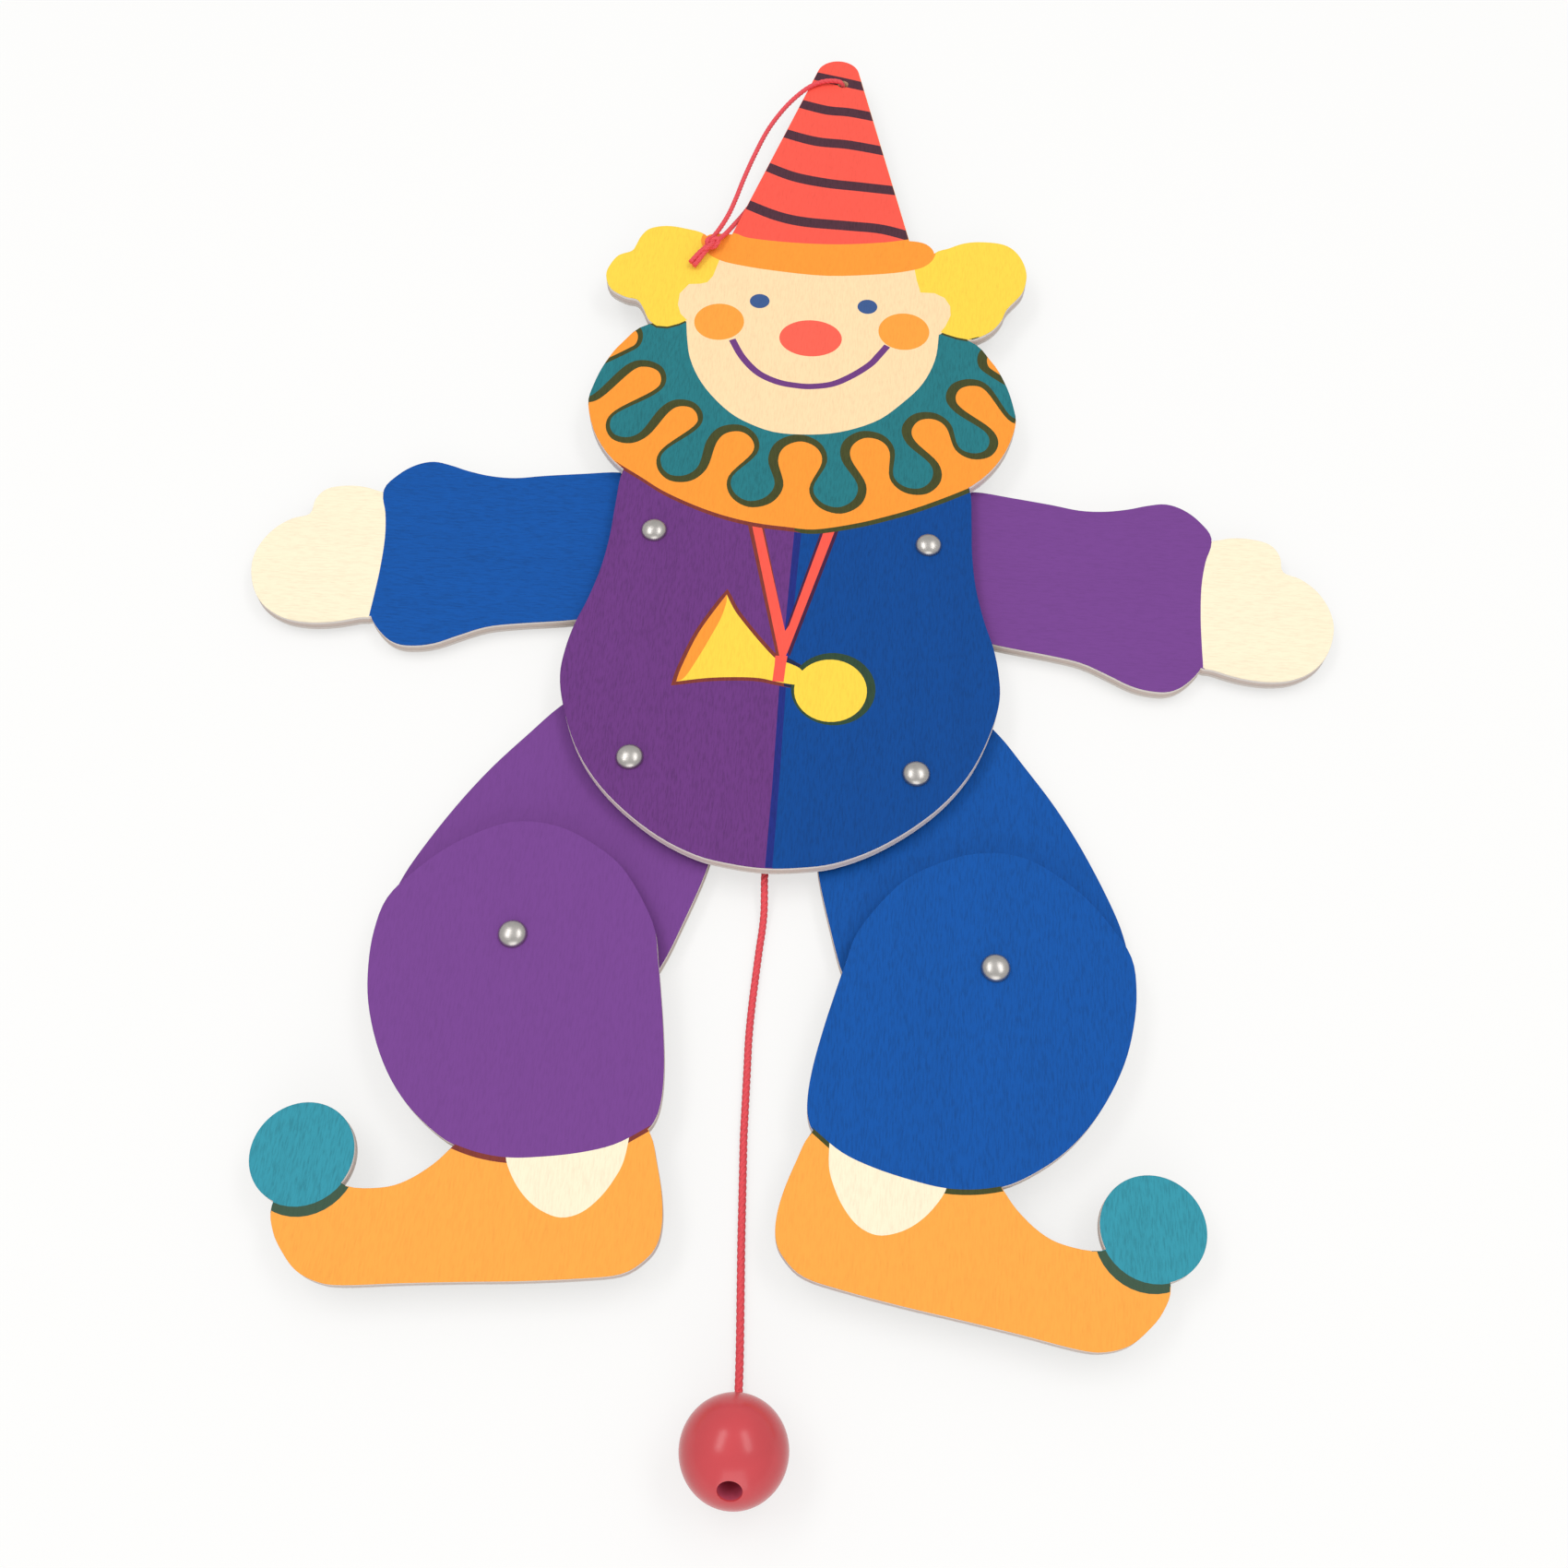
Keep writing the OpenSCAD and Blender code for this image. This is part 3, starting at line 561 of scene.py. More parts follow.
RUFF_HEM = [
    (-42.6, 19), (-37.9, 16), (-32, 12.1), (-24, 8.3), (-16.3, 5.6), (-8.9, 4), (-1.4, 3.3),
    (5.5, 3), (14.9, 5.3), (22.2, 7.9), (29.7, 11.1), (37, 14.9), (43.7, 18.8),
]
RUFF_TOP = [(64, 34), (64, 80), (-64, 80), (-64, 34)]
# The hem's shade on each half: how far it is moved, and the corners that close it
RUFF_SHADE_LEFT = (0.2, -1.2)
RUFF_SHADE_LEFT_TOP = [(0.7, 80), (-64, 80), (-64, 34)]
RUFF_SHADE_RIGHT = (0.4, -1.3)
RUFF_SHADE_RIGHT_TOP = [(64, 34), (64, 80), (0.7, 80)]
RUFF_SHADE_RIGHT_START = (0.7, 2.4)
RUFF_SHADE_RIGHT_FROM = 1
# The seam down the middle, where purple and blue meet and overlap
SEAM = [(0.7, 40), (0.7, 3), (0.1, -41.2), (0.3, -68.6), (0.1, -95)]
SEAM_OVERLAP = [(1.7, -95), (1.8, -68.6), (1.6, -41.2), (2.4, 3), (2.4, 40)]
RIGHT_HALF = [(70, -95), (70, 40)]
FACE_LINE = [
    (-32.6, 74), (-31.7, 67.4), (-30.9, 61.4), (-29.6, 55.2), (-26.9, 48.9), (-23.1, 43.3),
    (-17.9, 37.9), (-12.8, 34.7), (-6.6, 32.4), (0.1, 32), (7.6, 32.8), (14.2, 35),
    (20.1, 38.4), (25, 43.5), (29.3, 49), (31.9, 54.4), (33.5, 60.4), (34, 68), (34.5, 75),
]
FACE_TOP = [(42, 92), (0, 96), (-42, 92)]
EAR_LEFT = [(-28, 67), (-31.4, 67.2), (-33.6, 69.2), (-38, 72), (-38, 84), (-28, 84)]
EAR_RIGHT = [(30, 67), (34.2, 67.5), (36.2, 69.4), (40, 73), (40, 84), (30, 84)]
HAIR_LEFT = [
    (-24.6, 92), (-25.4, 88.2), (-26.2, 84.2), (-27.5, 81.8), (-29.4, 81.1), (-32.3, 80.8),
    (-34.4, 77.3), (-34.5, 73.4), (-33.5, 70.2), (-31.6, 68.1), (-33.6, 66.7), (-36.4, 65.5),
    (-39.3, 65.6), (-41.6, 67.2), (-46, 70), (-60, 72), (-60, 106), (-29, 106),
]
HAIR_RIGHT = [
    (26.6, 93), (27.2, 89.1), (27.7, 86.2), (28.5, 83.2), (28.8, 81.9), (32.5, 81.9),
    (35.2, 80.4), (36.7, 77.6), (36.9, 74.3), (35.6, 70.4), (34.4, 68.4), (35.7, 67.8),
    (38.6, 66.8), (41.4, 66.3), (45.2, 67.8), (50, 69), (63, 74), (63, 106), (33, 106),
]
HAIR_SHADE = (0, -0.7)
HAT = [(-24, 95), (-24, 110), (-12, 180), (18, 180), (30, 104), (26, 95)]
BRIM = [
    (-21.9, 100.2), (-17.5, 98.6), (-5.6, 97.7), (6.6, 97.9), (18.4, 99.4), (25.1, 101),
    (29.3, 101.6), (32.3, 99), (32.2, 95), (30.2, 91.8), (26.6, 89.8), (18.9, 87.9), (4, 86.2),
    (-10.8, 87.2), (-21, 88.8), (-25.3, 90.2), (-28.6, 92.6), (-30.6, 97), (-28.6, 100.9),
]
HAT_STRIPES = [
    [(-6, 164.7), (4.6, 162), (12, 160.1)],
    [(-10, 153.2), (-7.2, 152.2), (0.4, 150), (7, 149.5), (16, 147.6)],
    [(-14, 141), (-10.8, 139.8), (-1.9, 137.1), (7.7, 136.3), (20, 133.9)],
    [(-18, 127.6), (-15, 126.2), (-7.1, 122.7), (2.1, 120.8), (11.5, 120), (24, 118.9)],
    [(-22, 112.6), (-19, 111.1), (-10.9, 107.4), (-3.1, 105.6), (9.2, 104.9), (18.2, 104.2),
     (28, 101.2)],
]
STRIPE_WIDTH = (3.3, 3.6, 3.4)
CHEEKS = [(-23.2, 68.1, 6.5, 6.3), (24.9, 67.9, 6.6, 6.3)]
EYES = [(-13.2, 76, 2.6, 2.5), (15.1, 75.9, 2.6, 2.5)]
NOSE = (0.9, 64, 8.1, 6.2)
MOUTH = [
    (-19.3, 62.2), (-16.2, 56.4), (-11.8, 51.4), (-6.6, 48.7), (-1.6, 47.8), (2.4, 47.8),
    (7.5, 49), (12.3, 52.1), (16.6, 56.1), (18.8, 59.4), (20.8, 62.7),
]
MOUTH_WIDTH = (1.8, 1.8, 1.8)
RIBBON = [
    (-10.6, 8), (-9.8, 4), (-0.4, -33.8), (0.9, -33.8), (1.5, -31.8), (10.8, 4.4), (11.6, 8),
    (9.1, 8), (8.2, 4.4), (1.2, -25), (0.4, -26.6), (-7.5, 4), (-8.3, 8),
]
RIBBON_LEFT_SHADE = [
    (-11.6, 8), (-10.8, 4), (-1.1, -33.8), (0.3, -33.8), (0.7, -28), (-7, 4), (-7.8, 8),
]
RIBBON_RIGHT_SHADE = [(12.6, 8), (11.7, 4.4), (1.9, -33.6), (-0.2, -29), (7.5, 4.4), (8.4, 8)]
RIBBON_END = [(-1.4, -33.5), (-1.4, -36), (-1.6, -40.4), (1, -40.5), (1.2, -36), (1.4, -33.4)]
RIBBON_END_SHADE = [
    (1.1, -33.6), (2.3, -34.2), (5.3, -36), (5.5, -41.8), (3.3, -42), (1.1, -41.6),
]
HORN_SIDE = [
    (-14, -17.3), (-12, -21.2), (-9.9, -24.2), (-5.4, -29.8), (-1, -34.5), (1.8, -35.3),
    (5, -37.1), (5, -40.5), (3.4, -41), (-0.6, -40.5), (-4.7, -39.8), (-10, -39.9),
    (-16.7, -40.6), (-23.5, -42),
]
HORN_RIM = [(-23.5, -42), (-22.6, -37.7), (-19.4, -27.9), (-14, -17.3)]
HORN_MOUTH = [
    (-14, -17.3), (-13.9, -19.5), (-14.8, -24), (-16.5, -28.7), (-19, -35), (-21.6, -40.6),
    (-23.5, -42),
]
BULB = (11.8, -42, 8.3)
# How far a round print's shade lies to the right, upwards, and past its rim
BULB_SHADE = (0.6, 0.5, 1.35)
HALO = 0.95


def shifted(points, x, y):
    """The points moved to the right by x and up by y."""
    return [(p[0] + x, p[1] + y) for p in points]


def shade_disc(shape, change):
    """A round print's shade, moved and made larger by the change."""
    return disc(*(size + more for size, more in zip(shape, change)))


def grown(points, distance):
    """A closed outline moved outwards."""
    loop = [Vector(p) for p in points]
    if area(loop) < 0:
        loop = loop[::-1]
    return inset(loop, -distance)


horn_rim = smooth_curve(HORN_RIM)[:-1]
horn_line = smooth_curve(HORN_SIDE)[:-1] + horn_rim
ruff_hem = smooth_curve(RUFF_HEM)
ruff_shade_left = shifted(ruff_hem, *RUFF_SHADE_LEFT)
ruff_shade_right = [RUFF_SHADE_RIGHT_START] + [
    p for p in shifted(ruff_hem, *RUFF_SHADE_RIGHT) if p[0] > RUFF_SHADE_RIGHT_FROM]
# Each print is an ink and an outline, and a later one lies over those before it
body_prints = [
    ("blue", SEAM + RIGHT_HALF),
    ("navy", SEAM + SEAM_OVERLAP),
    ("maroon", RIBBON_RIGHT_SHADE),
    ("rust", RIBBON_LEFT_SHADE),
    ("rust", grown(horn_line, HALO)),
    ("dark_blue", RIBBON_END_SHADE),
    ("pine", shade_disc(BULB, BULB_SHADE)),
    ("coral", RIBBON),
    ("yellow", horn_line),
    ("orange", smooth_curve(HORN_MOUTH)[:-1] + horn_rim),
    ("yellow", disc(*BULB)),
    ("coral", RIBBON_END),
    ("rust", ruff_shade_left + RUFF_SHADE_LEFT_TOP),
    ("dark_green", ruff_shade_right + RUFF_SHADE_RIGHT_TOP),
    ("orange", ruff_hem + RUFF_TOP),
    ("dark_green", ruff_wave(head_grow=0, drop_grow=0, shift=(0, 0))),
    ("teal", ruff_wave(*TEAL_WAVE)),
    ("dark_green", shifted(HAIR_LEFT, *HAIR_SHADE)),
    ("dark_green", shifted(HAIR_RIGHT, *HAIR_SHADE)),
    ("face", smooth_curve(FACE_LINE, steps=3) + FACE_TOP),
    ("face", EAR_LEFT), ("face", EAR_RIGHT),
    ("yellow", HAIR_LEFT), ("yellow", HAIR_RIGHT),
    ("coral", HAT),
    *[("stripe", stroke(line, STRIPE_WIDTH)) for line in HAT_STRIPES],
    ("orange", smooth_curve(BRIM, closed=True)),
    *[("cheek_orange", disc(*cheek)) for cheek in CHEEKS],
    *[("eye_blue", disc(*eye)) for eye in EYES],
    ("nose_coral", disc(*NOSE)),
    ("mouth_purple", stroke(MOUTH, MOUTH_WIDTH)),
]

# Limb prints are drawn about their pivot with x outwards, then put where the limb is at rest,
# turned by these degrees
LIMB_REST = {
    "arm": {LEFT: 0.6, RIGHT: -0.4},
    "lower_leg": {LEFT: 2, RIGHT: -2.5},
}
PIVOTS = {joint["name"]: Vector(joint["pos_m"]) / MM
          for joint in frame["joints"] if "pos_m" in joint}
LIMB_JOINT = {"arm": "shoulder", "lower_leg": "knee"}
CUFF = [
    (68.6, 20), (68.9, 9.6), (67.1, 3.3), (65.8, -4), (65.2, -13), (65.1, -21), (65.1, -27),
    (64.6, -29.4),
]
CUFF_REST = [(64, -36), (110, -36), (110, 20)]
HEM = [
    (12, -42), (5.3, -44.6), (-1, -46.3), (-7.5, -46.8), (-14, -46), (-21.5, -44.4),
    (-28, -42.1), (-33.5, -38.4), (-42, -32),
]
SHOE_REST = [(-60, -32), (-60, -90), (60, -90), (60, -30), (20, -36)]
ANKLE = [
    (-6.9, -44), (-7.4, -47.4), (-9.8, -51.4), (-12.7, -54.4), (-16, -56.4), (-19.9, -57.3),
    (-23.6, -56), (-26.7, -52.9), (-29, -49), (-30.4, -45), (-30.8, -39),
]
POMPOM = (32.9, -50.1, 10.5)
POMPOM_SHADE = (-0.8, -1.7, 0.2)
HEM_OVERLAP = 1.1
TROUSER_TOP = [(-42, 0), (12, 0)]
ANKLE_TOP = [(-19, -36)]


def limb_print(points, limb, side):
    """Points drawn about a limb's pivot, put where that limb is at rest."""
    pivot = PIVOTS[f"{SIDE_NAME[side]}_{LIMB_JOINT[limb]}"]
    turn = math.radians(LIMB_REST[limb][side])
    placed = []
    for p in points:
        x = p[0] * math.cos(turn) - p[1] * math.sin(turn)
        y = p[0] * math.sin(turn) + p[1] * math.cos(turn)
        placed.append((pivot.x + side * x, pivot.y + y))
    return placed


hem_line = smooth_curve(HEM)
ankle_line = smooth_curve(ANKLE)


def lower_leg_prints(side, trouser, overlap):
    """Shoe, hem, ankle and pompom."""
    drawn = [
        ("shoe_orange", hem_line + SHOE_REST),
        (overlap, hem_line + shifted(hem_line, 0, -HEM_OVERLAP)[::-1]),
        ("cream", ankle_line + ANKLE_TOP),
        (trouser, hem_line + TROUSER_TOP),
        ("moss", shade_disc(POMPOM, POMPOM_SHADE)),
        ("pompom_teal", disc(*POMPOM)),
    ]
    return [(name, limb_print(points, "lower_leg", side)) for name, points in drawn]


stand_in(printed_plate("body_plate", "purple", body_prints, upright=True),
         "figure", "body_plate")
cuff_outline = smooth_curve(CUFF) + CUFF_REST
for side, sleeve, trouser, overlap in (
        (LEFT, "limb_blue", "violet", "rust"), (RIGHT, "violet", "limb_blue", "dark_green")):
    name = SIDE_NAME[side]
    cuff_print = ("cream", limb_print(cuff_outline, "arm", side))
    leg_prints = lower_leg_prints(side, trouser, overlap)
    stand_in(printed_plate(name + "_arm", sleeve, [cuff_print], upright=False),
             name + "_arm", name + "_arm")
    stand_in(printed_plate(name + "_thigh", trouser, [], upright=True),
             name + "_thigh", name + "_thigh")
    stand_in(printed_plate(name + "_lower_leg", trouser, leg_prints, upright=True),
             name + "_shin", name + "_lower_leg")

# Geometry trees


def tree_with(name, inputs):
    """A geometry tree with named inputs after the geometry."""
    tree = bpy.data.node_groups.new(name, "GeometryNodeTree")
    tree.interface.new_socket("Geometry", in_out="INPUT", socket_type="NodeSocketGeometry")
    for label, kind in inputs:
        tree.interface.new_socket(label, in_out="INPUT", socket_type=kind)
    tree.interface.new_socket("Geometry", in_out="OUTPUT", socket_type="NodeSocketGeometry")
    return tree, tree.nodes.new("NodeGroupInput"), tree.nodes.new("NodeGroupOutput")


def applied(host, tree, values, name):
    """The host with the tree's inputs set, turned into a plain mesh piece."""
    modifier = host.modifiers.new(tree.name, "NODES")
    modifier.node_group = tree
    for item in tree.interface.items_tree:
        if item.in_out == "INPUT" and item.name in values:
            modifier[item.identifier] = values[item.name]
    depsgraph = bpy.context.evaluated_depsgraph_get()
    mesh = bpy.data.meshes.new_from_object(host.evaluated_get(depsgraph))
    host.modifiers.remove(modifier)
    bpy.data.objects.remove(host)
    mesh.name = name
    return put_in_scene(name, mesh)


def finish_tree(tree, geometry, given, out):
    """Ends a tree in plain geometry with its material."""
    realize = tree.nodes.new("GeometryNodeRealizeInstances")
    paint = tree.nodes.new("GeometryNodeSetMaterial")
    tree.links.new(geometry, realize.inputs["Geometry"])
    tree.links.new(realize.outputs["Geometry"], paint.inputs["Geometry"])
    tree.links.new(given.outputs["Material"], paint.inputs["Material"])
    tree.links.new(paint.outputs["Geometry"], out.inputs["Geometry"])


# A cord's section: its corners, how deep the grooves between strands are, and how round a strand is
SECTION_SIDES = 24
GROOVE_SHARE = 0.22
STRAND_ROUND = 0.7


def twisted_cord_tree():
    """A cord of laid strands: a lobed section swept along the line with a steady twist."""
    tree, given, out = tree_with("twisted_cord", [
        ("Radius", "NodeSocketFloat"), ("Strands", "NodeSocketFloat"),
        ("Turns per metre", "NodeSocketFloat"), ("Ring spacing", "NodeSocketFloat"),
        ("Material", "NodeSocketMaterial")])
    nodes, links = tree.nodes, tree.links

    def maths(operation, first, second=None):
        """The result of a sum on sockets or numbers."""
        made = add_node(nodes, "ShaderNodeMath", operation=operation)
        for socket, value in zip(made.inputs, (first, second)):
            if isinstance(value, (int, float)):
                socket.default_value = value
            elif value is not None:
                links.new(value, socket)
        return made.outputs[0]

    resample = add_node(nodes, "GeometryNodeResampleCurve", mode="LENGTH")
    links.new(given.outputs["Geometry"], resample.inputs["Curve"])
    links.new(given.outputs["Ring spacing"], resample.inputs["Length"])
    along = nodes.new("GeometryNodeSplineParameter")
    turns = maths("MULTIPLY", along.outputs["Length"], given.outputs["Turns per metre"])
    tilt = nodes.new("GeometryNodeSetCurveTilt")
    links.new(resample.outputs["Curve"], tilt.inputs["Curve"])
    links.new(maths("MULTIPLY", turns, 2 * math.pi), tilt.inputs["Tilt"])
    section = add_node(nodes, "GeometryNodeCurvePrimitiveCircle", {"Resolution": SECTION_SIDES},
                       mode="RADIUS")
    links.new(given.outputs["Radius"], section.inputs["Radius"])
    index = nodes.new("GeometryNodeInputIndex")
    half_turns = maths("MULTIPLY", maths("DIVIDE", index.outputs[0], SECTION_SIDES),
                       maths("MULTIPLY", given.outputs["Strands"], math.pi))
    lobe = maths("POWER", maths("ABSOLUTE", maths("SINE", half_turns)), STRAND_ROUND)
    reach = maths("ADD", maths("MULTIPLY", lobe, GROOVE_SHARE), 1 - GROOVE_SHARE)
    place = nodes.new("GeometryNodeInputPosition")
    scale = add_node(nodes, "ShaderNodeVectorMath", operation="SCALE")
    links.new(place.outputs[0], scale.inputs[0])
    links.new(reach, scale.inputs["Scale"])
    shape = nodes.new("GeometryNodeSetPosition")
    links.new(section.outputs["Curve"], shape.inputs["Geometry"])
    links.new(scale.outputs[0], shape.inputs["Position"])
    sweep = add_node(nodes, "GeometryNodeCurveToMesh", {"Fill Caps": True})
    links.new(tilt.outputs["Curve"], sweep.inputs["Curve"])
    links.new(shape.outputs["Geometry"], sweep.inputs["Profile Curve"])
    finish_tree(tree, sweep.outputs["Mesh"], given, out)
    return tree


def rivets_tree():
    """One rivet on every point."""
    tree, given, out = tree_with("rivets", [
        ("Rivet", "NodeSocketObject"), ("Material", "NodeSocketMaterial")])
    info = tree.nodes.new("GeometryNodeObjectInfo")
    place = tree.nodes.new("GeometryNodeInstanceOnPoints")
    tree.links.new(given.outputs["Rivet"], info.inputs["Object"])
    tree.links.new(given.outputs["Geometry"], place.inputs["Points"])
    tree.links.new(info.outputs["Geometry"], place.inputs["Instance"])
    finish_tree(tree, place.outputs["Instances"], given, out)
    return tree


cord_tree = twisted_cord_tree()
rivet_tree = rivets_tree()


def line_object(name, points):
    """A curve object through points in metres."""
    data = bpy.data.curves.new(name, "CURVE")
    data.dimensions = "3D"
    spline = data.splines.new("POLY")
    spline.points.add(len(points) - 1)
    for target, at in zip(spline.points, points):
        target.co = (*at, 1.0)
    return put_in_scene(name + "_line", data)


# Laid cord: its fullness against its bare diameter, turns per metre, strands, and the spacing
# of its rings in millimetres
ROPE_FULL = 1.1
TURNS_PER_M = 260.0
STRANDS = 3.0
RING_SPACING = 0.25


def twisted_cord(name, points, diameter):
    """A laid cord through points in metres."""
    values = {"Radius": ROPE_FULL * diameter * MM / 2, "Strands": STRANDS,
              "Turns per metre": TURNS_PER_M, "Ring spacing": RING_SPACING * MM,
              "Material": cord_red}
    piece = applied(line_object(name, points), cord_tree, values, name)
    clean(piece.data, angle=60)
    return piece


def cord_line(route):
    """A smooth line, in metres, through a route in millimetres."""
    return smooth_curve([Vector(p) * MM for p in route])


KNOT_RISE = 1.1


def overhand_knot(centre, size, turn, lean=0.0, tall=1.0):
    """The closed line of a tightened knot, in metres."""
    line = []
    steps = 72
    spin = Matrix.Rotation(turn, 4, "Z") @ Matrix.Rotation(lean, 4, "X")
    for k in range(steps):
        t = 2 * math.pi * k / steps
        at = Vector((math.sin(t) + 2 * math.sin(2 * t), tall * (math.cos(t) - 2 * math.cos(2 * t)),
                     -KNOT_RISE * math.sin(3 * t)))
        line.append(Vector(centre) * MM + spin @ at * size * MM)
    return line + [line[0]]


pull_line = cord_line(PULL_ROUTE)
hang_line = cord_line(HANG_ROUTE)
pull_cord = twisted_cord("pull_cord_red", pull_line, PULL_CORD_D)
hanging_loop = twisted_cord("hanging_loop_red", hang_line, HANG_CORD_D)

# Bead with its stepped hole, turned about the hole's axis, in millimetres and degrees
BEAD_R = 10.0
BEAD_AT = (3.1, -203.9, 10.0)
BEAD_SLOPE = 42.0
BORE_R, RECESS_R, RECESS_START = 1.0, 2.2, 2.4
LIP = 0.35
# Where the lip's middle ring lies, outwards and downwards
LIP_OUT_SHARE, LIP_DOWN_SHARE = 0.3, 0.15
# Faces of the hole deeper than this share of the radius take the matt bore material, whose darker,
# purpler red is painted shade in the hole
HOLE_SHADE_SHARE = 0.97
KNOT_IN_BEAD = 1.6
BEAD_KNOT_CORD_SHARE = 0.6


def lathed(name, profile, steps, place, closed, material):
    """A turned piece: a profile of radius and height about an axis."""
    vertices, faces = [], []
    for k in range(steps):
        turn = 2 * math.pi * k / steps
        vertices += [place @ Vector((r * MM * math.cos(turn), r * MM * math.sin(turn), z * MM))
                     for r, z in profile]
    count = len(profile)
    for k in range(steps):
        near, far = k * count, (k + 1) % steps * count
        for i in range(count if closed else count - 1):
            j = (i + 1) % count
            faces.append([near + i, far + i, far + j, near + j])
    mesh = bpy.data.meshes.new(name)
    mesh.from_pydata(vertices, [], faces)
    mesh.materials.append(material)
    piece = put_in_scene(name, mesh)
    clean(mesh, angle=40)
    return piece


def bead_profile():
    """The ball's round side, then the recess and the narrow hole through it."""
    low = -math.acos((BORE_R + LIP) / BEAD_R)
    high = math.acos((RECESS_R + LIP) / BEAD_R)
    steps = 48
    side = [(BEAD_R * math.cos(low + (high - low) * k / steps),
             BEAD_R * math.sin(low + (high - low) * k / steps)) for k in range(steps + 1)]
    mouth = math.sqrt(BEAD_R ** 2 - RECESS_R ** 2)
    end = math.sqrt(BEAD_R ** 2 - BORE_R ** 2)
    out, down = LIP * LIP_OUT_SHARE, LIP * LIP_DOWN_SHARE
    hole = [(RECESS_R + out, mouth - down), (RECESS_R, mouth - LIP), (RECESS_R, RECESS_START),
            (BORE_R, RECESS_START), (BORE_R, -end + LIP), (BORE_R + out, -end + down)]
    return side + hole


bead_turn = Matrix.Rotation(math.radians(90 - BEAD_SLOPE), 4, "X")
bead_place = Matrix.Translation(Vector(BEAD_AT) * MM) @ bead_turn
bead = lathed("pull_bead_lacquered", bead_profile(), steps=96, place=bead_place, closed=True,
              material=bead_lacquer)
bead.data.materials.append(bead_bore_painted_shade)
to_bead = bead_place.inverted()
# The hole's deep faces take the bore material, painted shade in the hole
for face in bead.data.polygons:
    centre = to_bead @ face.center
    in_hole = centre.xy.length < (RECESS_R + LIP / 2) * MM
    if in_hole and centre.length < BEAD_R * HOLE_SHADE_SHARE * MM:
        face.material_index = 1
bead_knot_at = Vector(BEAD_AT) + bead_turn @ Vector((0, 0, RECESS_START + KNOT_IN_BEAD))
bead_knot = twisted_cord(
    "bead_knot_red", overhand_knot(bead_knot_at, size=0.42, turn=0.4, lean=0.8),
    PULL_CORD_D * BEAD_KNOT_CORD_SHARE)

# Knot of the hanging loop beside the brim, with two short tails
HANG_KNOT_AT = (-27.6, 93.9, 10.9)
TAILS = [
    [(-28.6, 92.8, 10.8), (-30.1, 90.6, 11), (-31.4, 88.6, 10.8), (-32.4, 87, 10.6)],
    [(-28.2, 92.6, 10.5), (-29.4, 90.2, 10.5), (-30.4, 88, 10.4), (-31.4, 86.2, 10.3)],
]
loop_knot = twisted_cord(
    "loop_knot_red", overhand_knot(HANG_KNOT_AT, size=0.46, turn=-0.6, tall=2.1), HANG_CORD_D)
tails = [twisted_cord(f"loop_tail_{i}", cord_line(tail), HANG_CORD_D)
         for i, tail in enumerate(TAILS)]

# Rivets: domed heads with shank and tail, in millimetres
HEAD_R, HEAD_H = 3.1, 2.0
SHANK_R = 1.5
TAIL_R, TAIL_H = 2.5, 0.8
CROWN = 0.85
DOME_STEPS = 16
ON_AXIS = 0.001


def rivet_profile():
    """The radius and height of a hip rivet's turned side, from its tail to its crown."""
    low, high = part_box("left_hip_rivet")
    height = (high.z - low.z) / MM
    top = height - HEAD_H
    dome = []
    for k in range(DOME_STEPS):
        turn = math.pi / 2 * k / DOME_STEPS
        dome.append((HEAD_R * math.cos(turn), top + HEAD_H * math.sin(turn) ** CROWN))
    return [(ON_AXIS, 0), (TAIL_R, 0), (TAIL_R, TAIL_H), (SHANK_R, TAIL_H), (SHANK_R, top),
            *dome, (ON_AXIS, height)]


prototype = lathed("rivet_pattern", rivet_profile(), steps=48, place=Matrix.Identity(4),
                   closed=False, material=rivet_metal)


def rivets_at(name, nodes, body):
    """Rivets for one body, where its CAD rivets are."""
    places = []
    for node in nodes:
        low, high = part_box(node)
        places.append(((low.x + high.x) / 2, (low.y + high.y) / 2, low.z))
    mesh = bpy.data.meshes.new(name)
    mesh.from_pydata(places, [], [])
    host = put_in_scene(name + "_points", mesh)
    piece = applied(host, rivet_tree, {"Rivet": prototype, "Material": rivet_metal}, name)
    clean(piece.data, angle=40)
    stand_in(piece, body, *nodes)


rivets_at("figure_rivets", [f"{s}_{j}_rivet" for s in SIDE_NAME.values()
                            for j in ("shoulder", "hip")], "figure")
for s in SIDE_NAME.values():
    rivets_at(f"{s}_knee_rivet_domed", [f"{s}_knee_rivet"], f"{s}_shin")
bpy.data.objects.remove(prototype)

# Finishes of the parts that stay as the CAD made them, by the end of their names
FINISHES = {
    "_washer": washer_metal, "_spacer": spacer_fibre, "_string": thread_red,
    "arm_knot": thread_red, "leg_knot": thread_red,
}
for node, piece in frame["nodes"].items():
    for ending, finish in FINISHES.items():
        if node.endswith(ending):
            piece.data.materials.clear()
            piece.data.materials.append(finish)

stand_in(pull_cord, "pull", "pull_cord")
stand_in(bead, "pull", "pull_bead")
stand_in(bead_knot, "pull", "bead_knot")
stand_in(hanging_loop, "figure", "hanging_loop")
stand_in(loop_knot, "figure", "loop_knot")
for tail in tails:
    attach(tail, "figure")

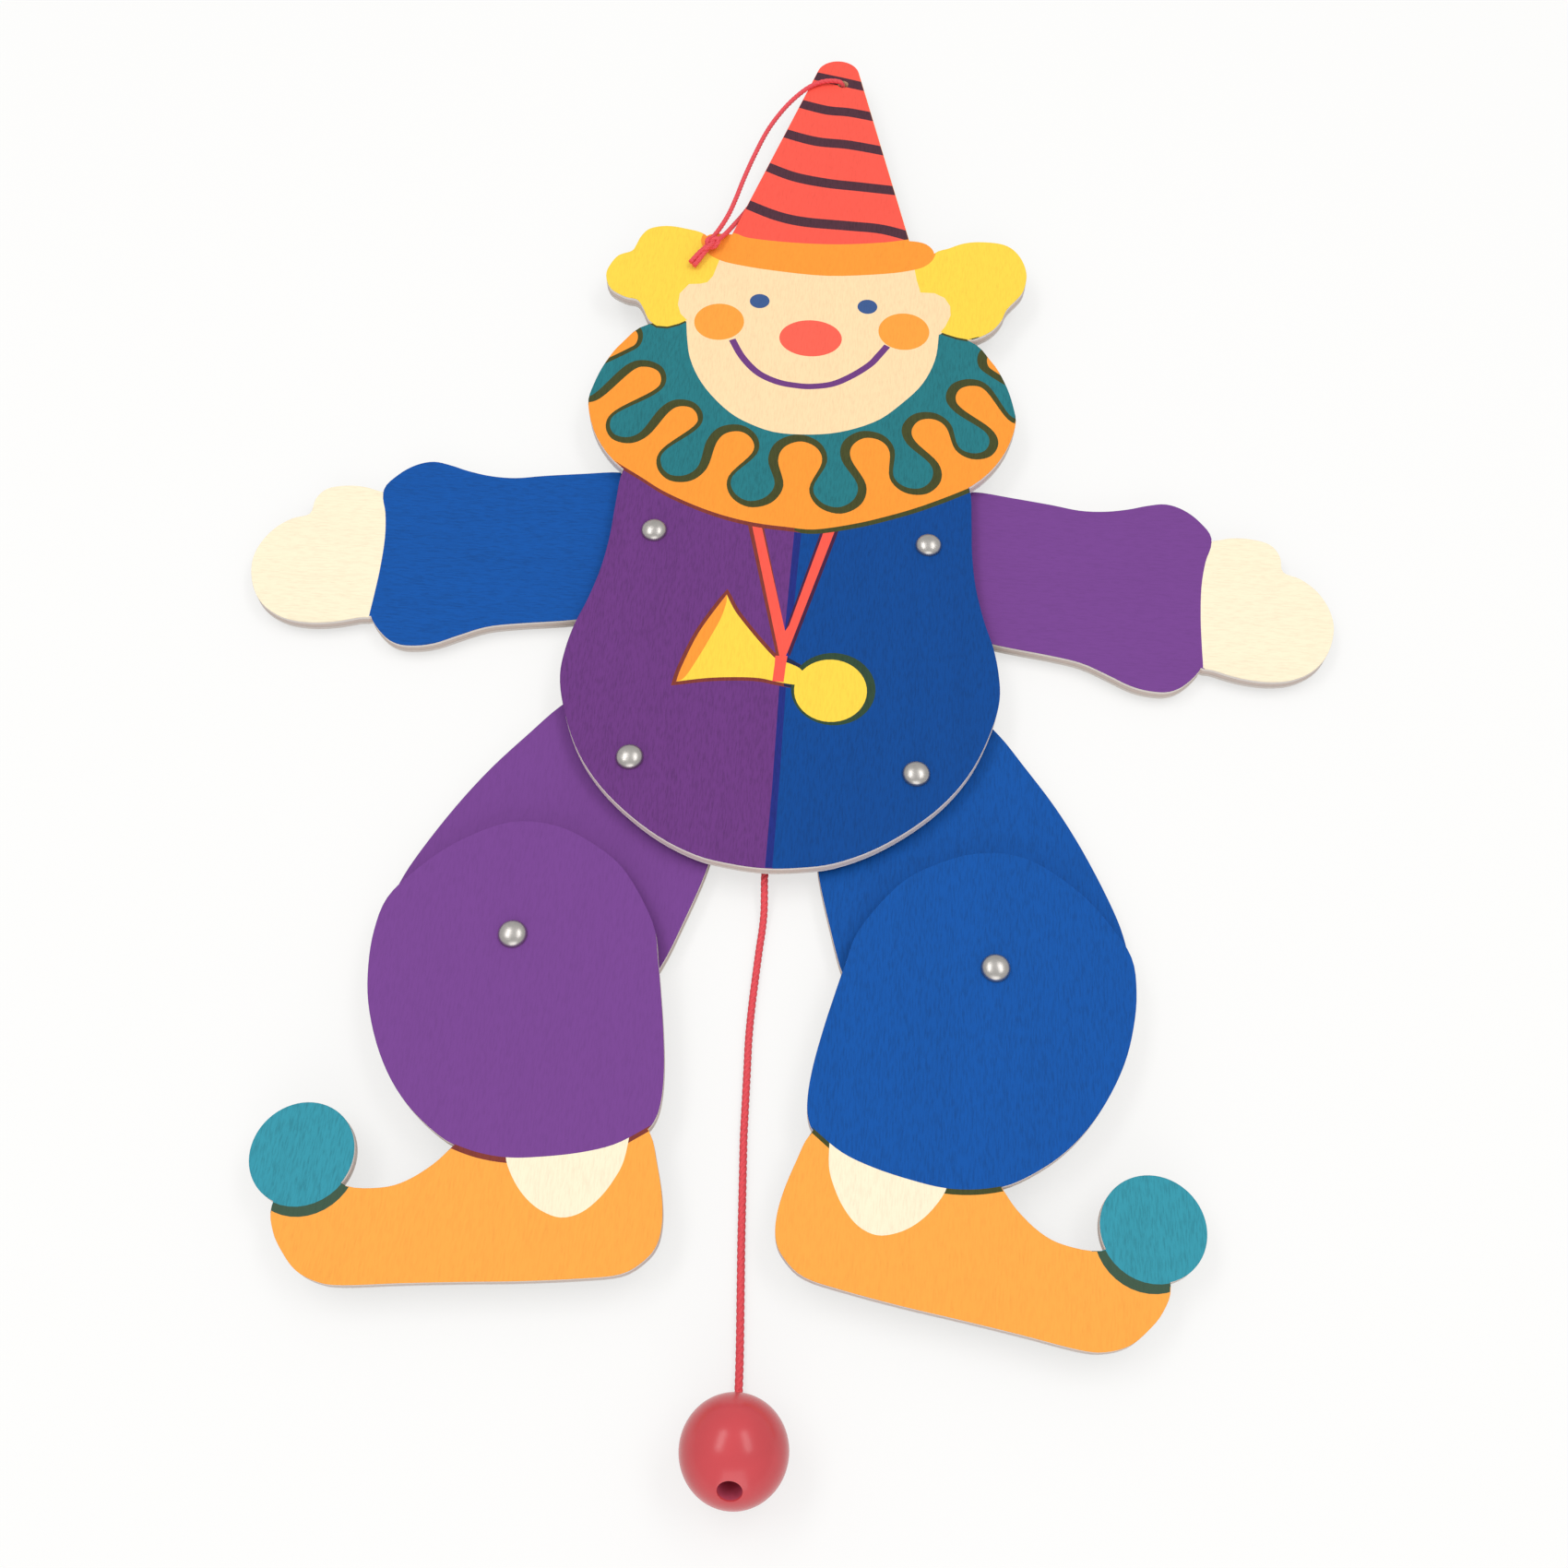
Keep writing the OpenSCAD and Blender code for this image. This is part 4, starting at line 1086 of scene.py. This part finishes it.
# Table, lamps and world, in metres, but for the table's drop under the toy, in millimetres
FLOOR_HALF = 3.0
FLOOR_DROP = 0.02
FLOOR_COLOUR = (0.3, 0.3, 0.297, 1)
FLOOR_GLOW = 0.66
FLOOR_GLOW_COLOUR = (1, 0.995, 0.985, 1)
floor_mesh = bpy.data.meshes.new("table_top")
corners = [(-FLOOR_HALF, -FLOOR_HALF), (FLOOR_HALF, -FLOOR_HALF), (FLOOR_HALF, FLOOR_HALF),
           (-FLOOR_HALF, FLOOR_HALF)]
floor_mesh.from_pydata([(x, y, -FLOOR_DROP * MM) for x, y in corners], [], [(0, 1, 2, 3)])
floor = put_in_scene("table_top", floor_mesh)
floor_material = bpy.data.materials.new("white_table")
floor_material.use_nodes = True
nodes, links = floor_material.node_tree.nodes, floor_material.node_tree.links
nodes.clear()
matt = add_node(nodes, "ShaderNodeBsdfDiffuse", {"Color": FLOOR_COLOUR})
glow = add_node(nodes, "ShaderNodeEmission", {"Color": FLOOR_GLOW_COLOUR})
seen = nodes.new("ShaderNodeLightPath")
either = add_node(nodes, "ShaderNodeMath", operation="MAXIMUM")
links.new(seen.outputs["Is Camera Ray"], either.inputs[0])
links.new(seen.outputs["Is Glossy Ray"], either.inputs[1])
level = add_node(nodes, "ShaderNodeMath", {1: FLOOR_GLOW}, operation="MULTIPLY")
links.new(either.outputs[0], level.inputs[0])
links.new(level.outputs[0], glow.inputs["Strength"])
total = nodes.new("ShaderNodeAddShader")
surface = nodes.new("ShaderNodeOutputMaterial")
links.new(matt.outputs[0], total.inputs[0])
links.new(glow.outputs[0], total.inputs[1])
links.new(total.outputs[0], surface.inputs["Surface"])
floor_mesh.materials.append(floor_material)


def soft_lamp(name, at, along, across, watts, aim=(0, -0.02, 0)):
    """A panel that points at the figure, with its sizes along and across the figure's height."""
    data = bpy.data.lights.new(name, "AREA")
    data.shape = "RECTANGLE"
    data.size, data.size_y = along, across
    data.energy = watts
    lamp = put_in_scene(name, data)
    lamp.location = at
    lamp.rotation_euler = (Vector(aim) - Vector(at)).to_track_quat("-Z", "Y").to_euler()


soft_lamp("window_left", (-0.55, 0.1, 1.1), along=0.9, across=0.3, watts=3.4)
soft_lamp("window_right", (0.55, 0.15, 1.1), along=0.9, across=0.3, watts=3.0)
soft_lamp("fill_feet", (0.1, -1.2, 0.45), along=0.9, across=0.9, watts=3.5)
WORLD_LIGHT = 0.7
world = bpy.data.worlds.new("soft_room")
world.use_nodes = True
background = world.node_tree.nodes["Background"]
background.inputs["Color"].default_value = (1, 1, 1, 1)
background.inputs["Strength"].default_value = WORLD_LIGHT
bpy.context.scene.world = world
bpy.context.scene.view_settings.view_transform = "Standard"
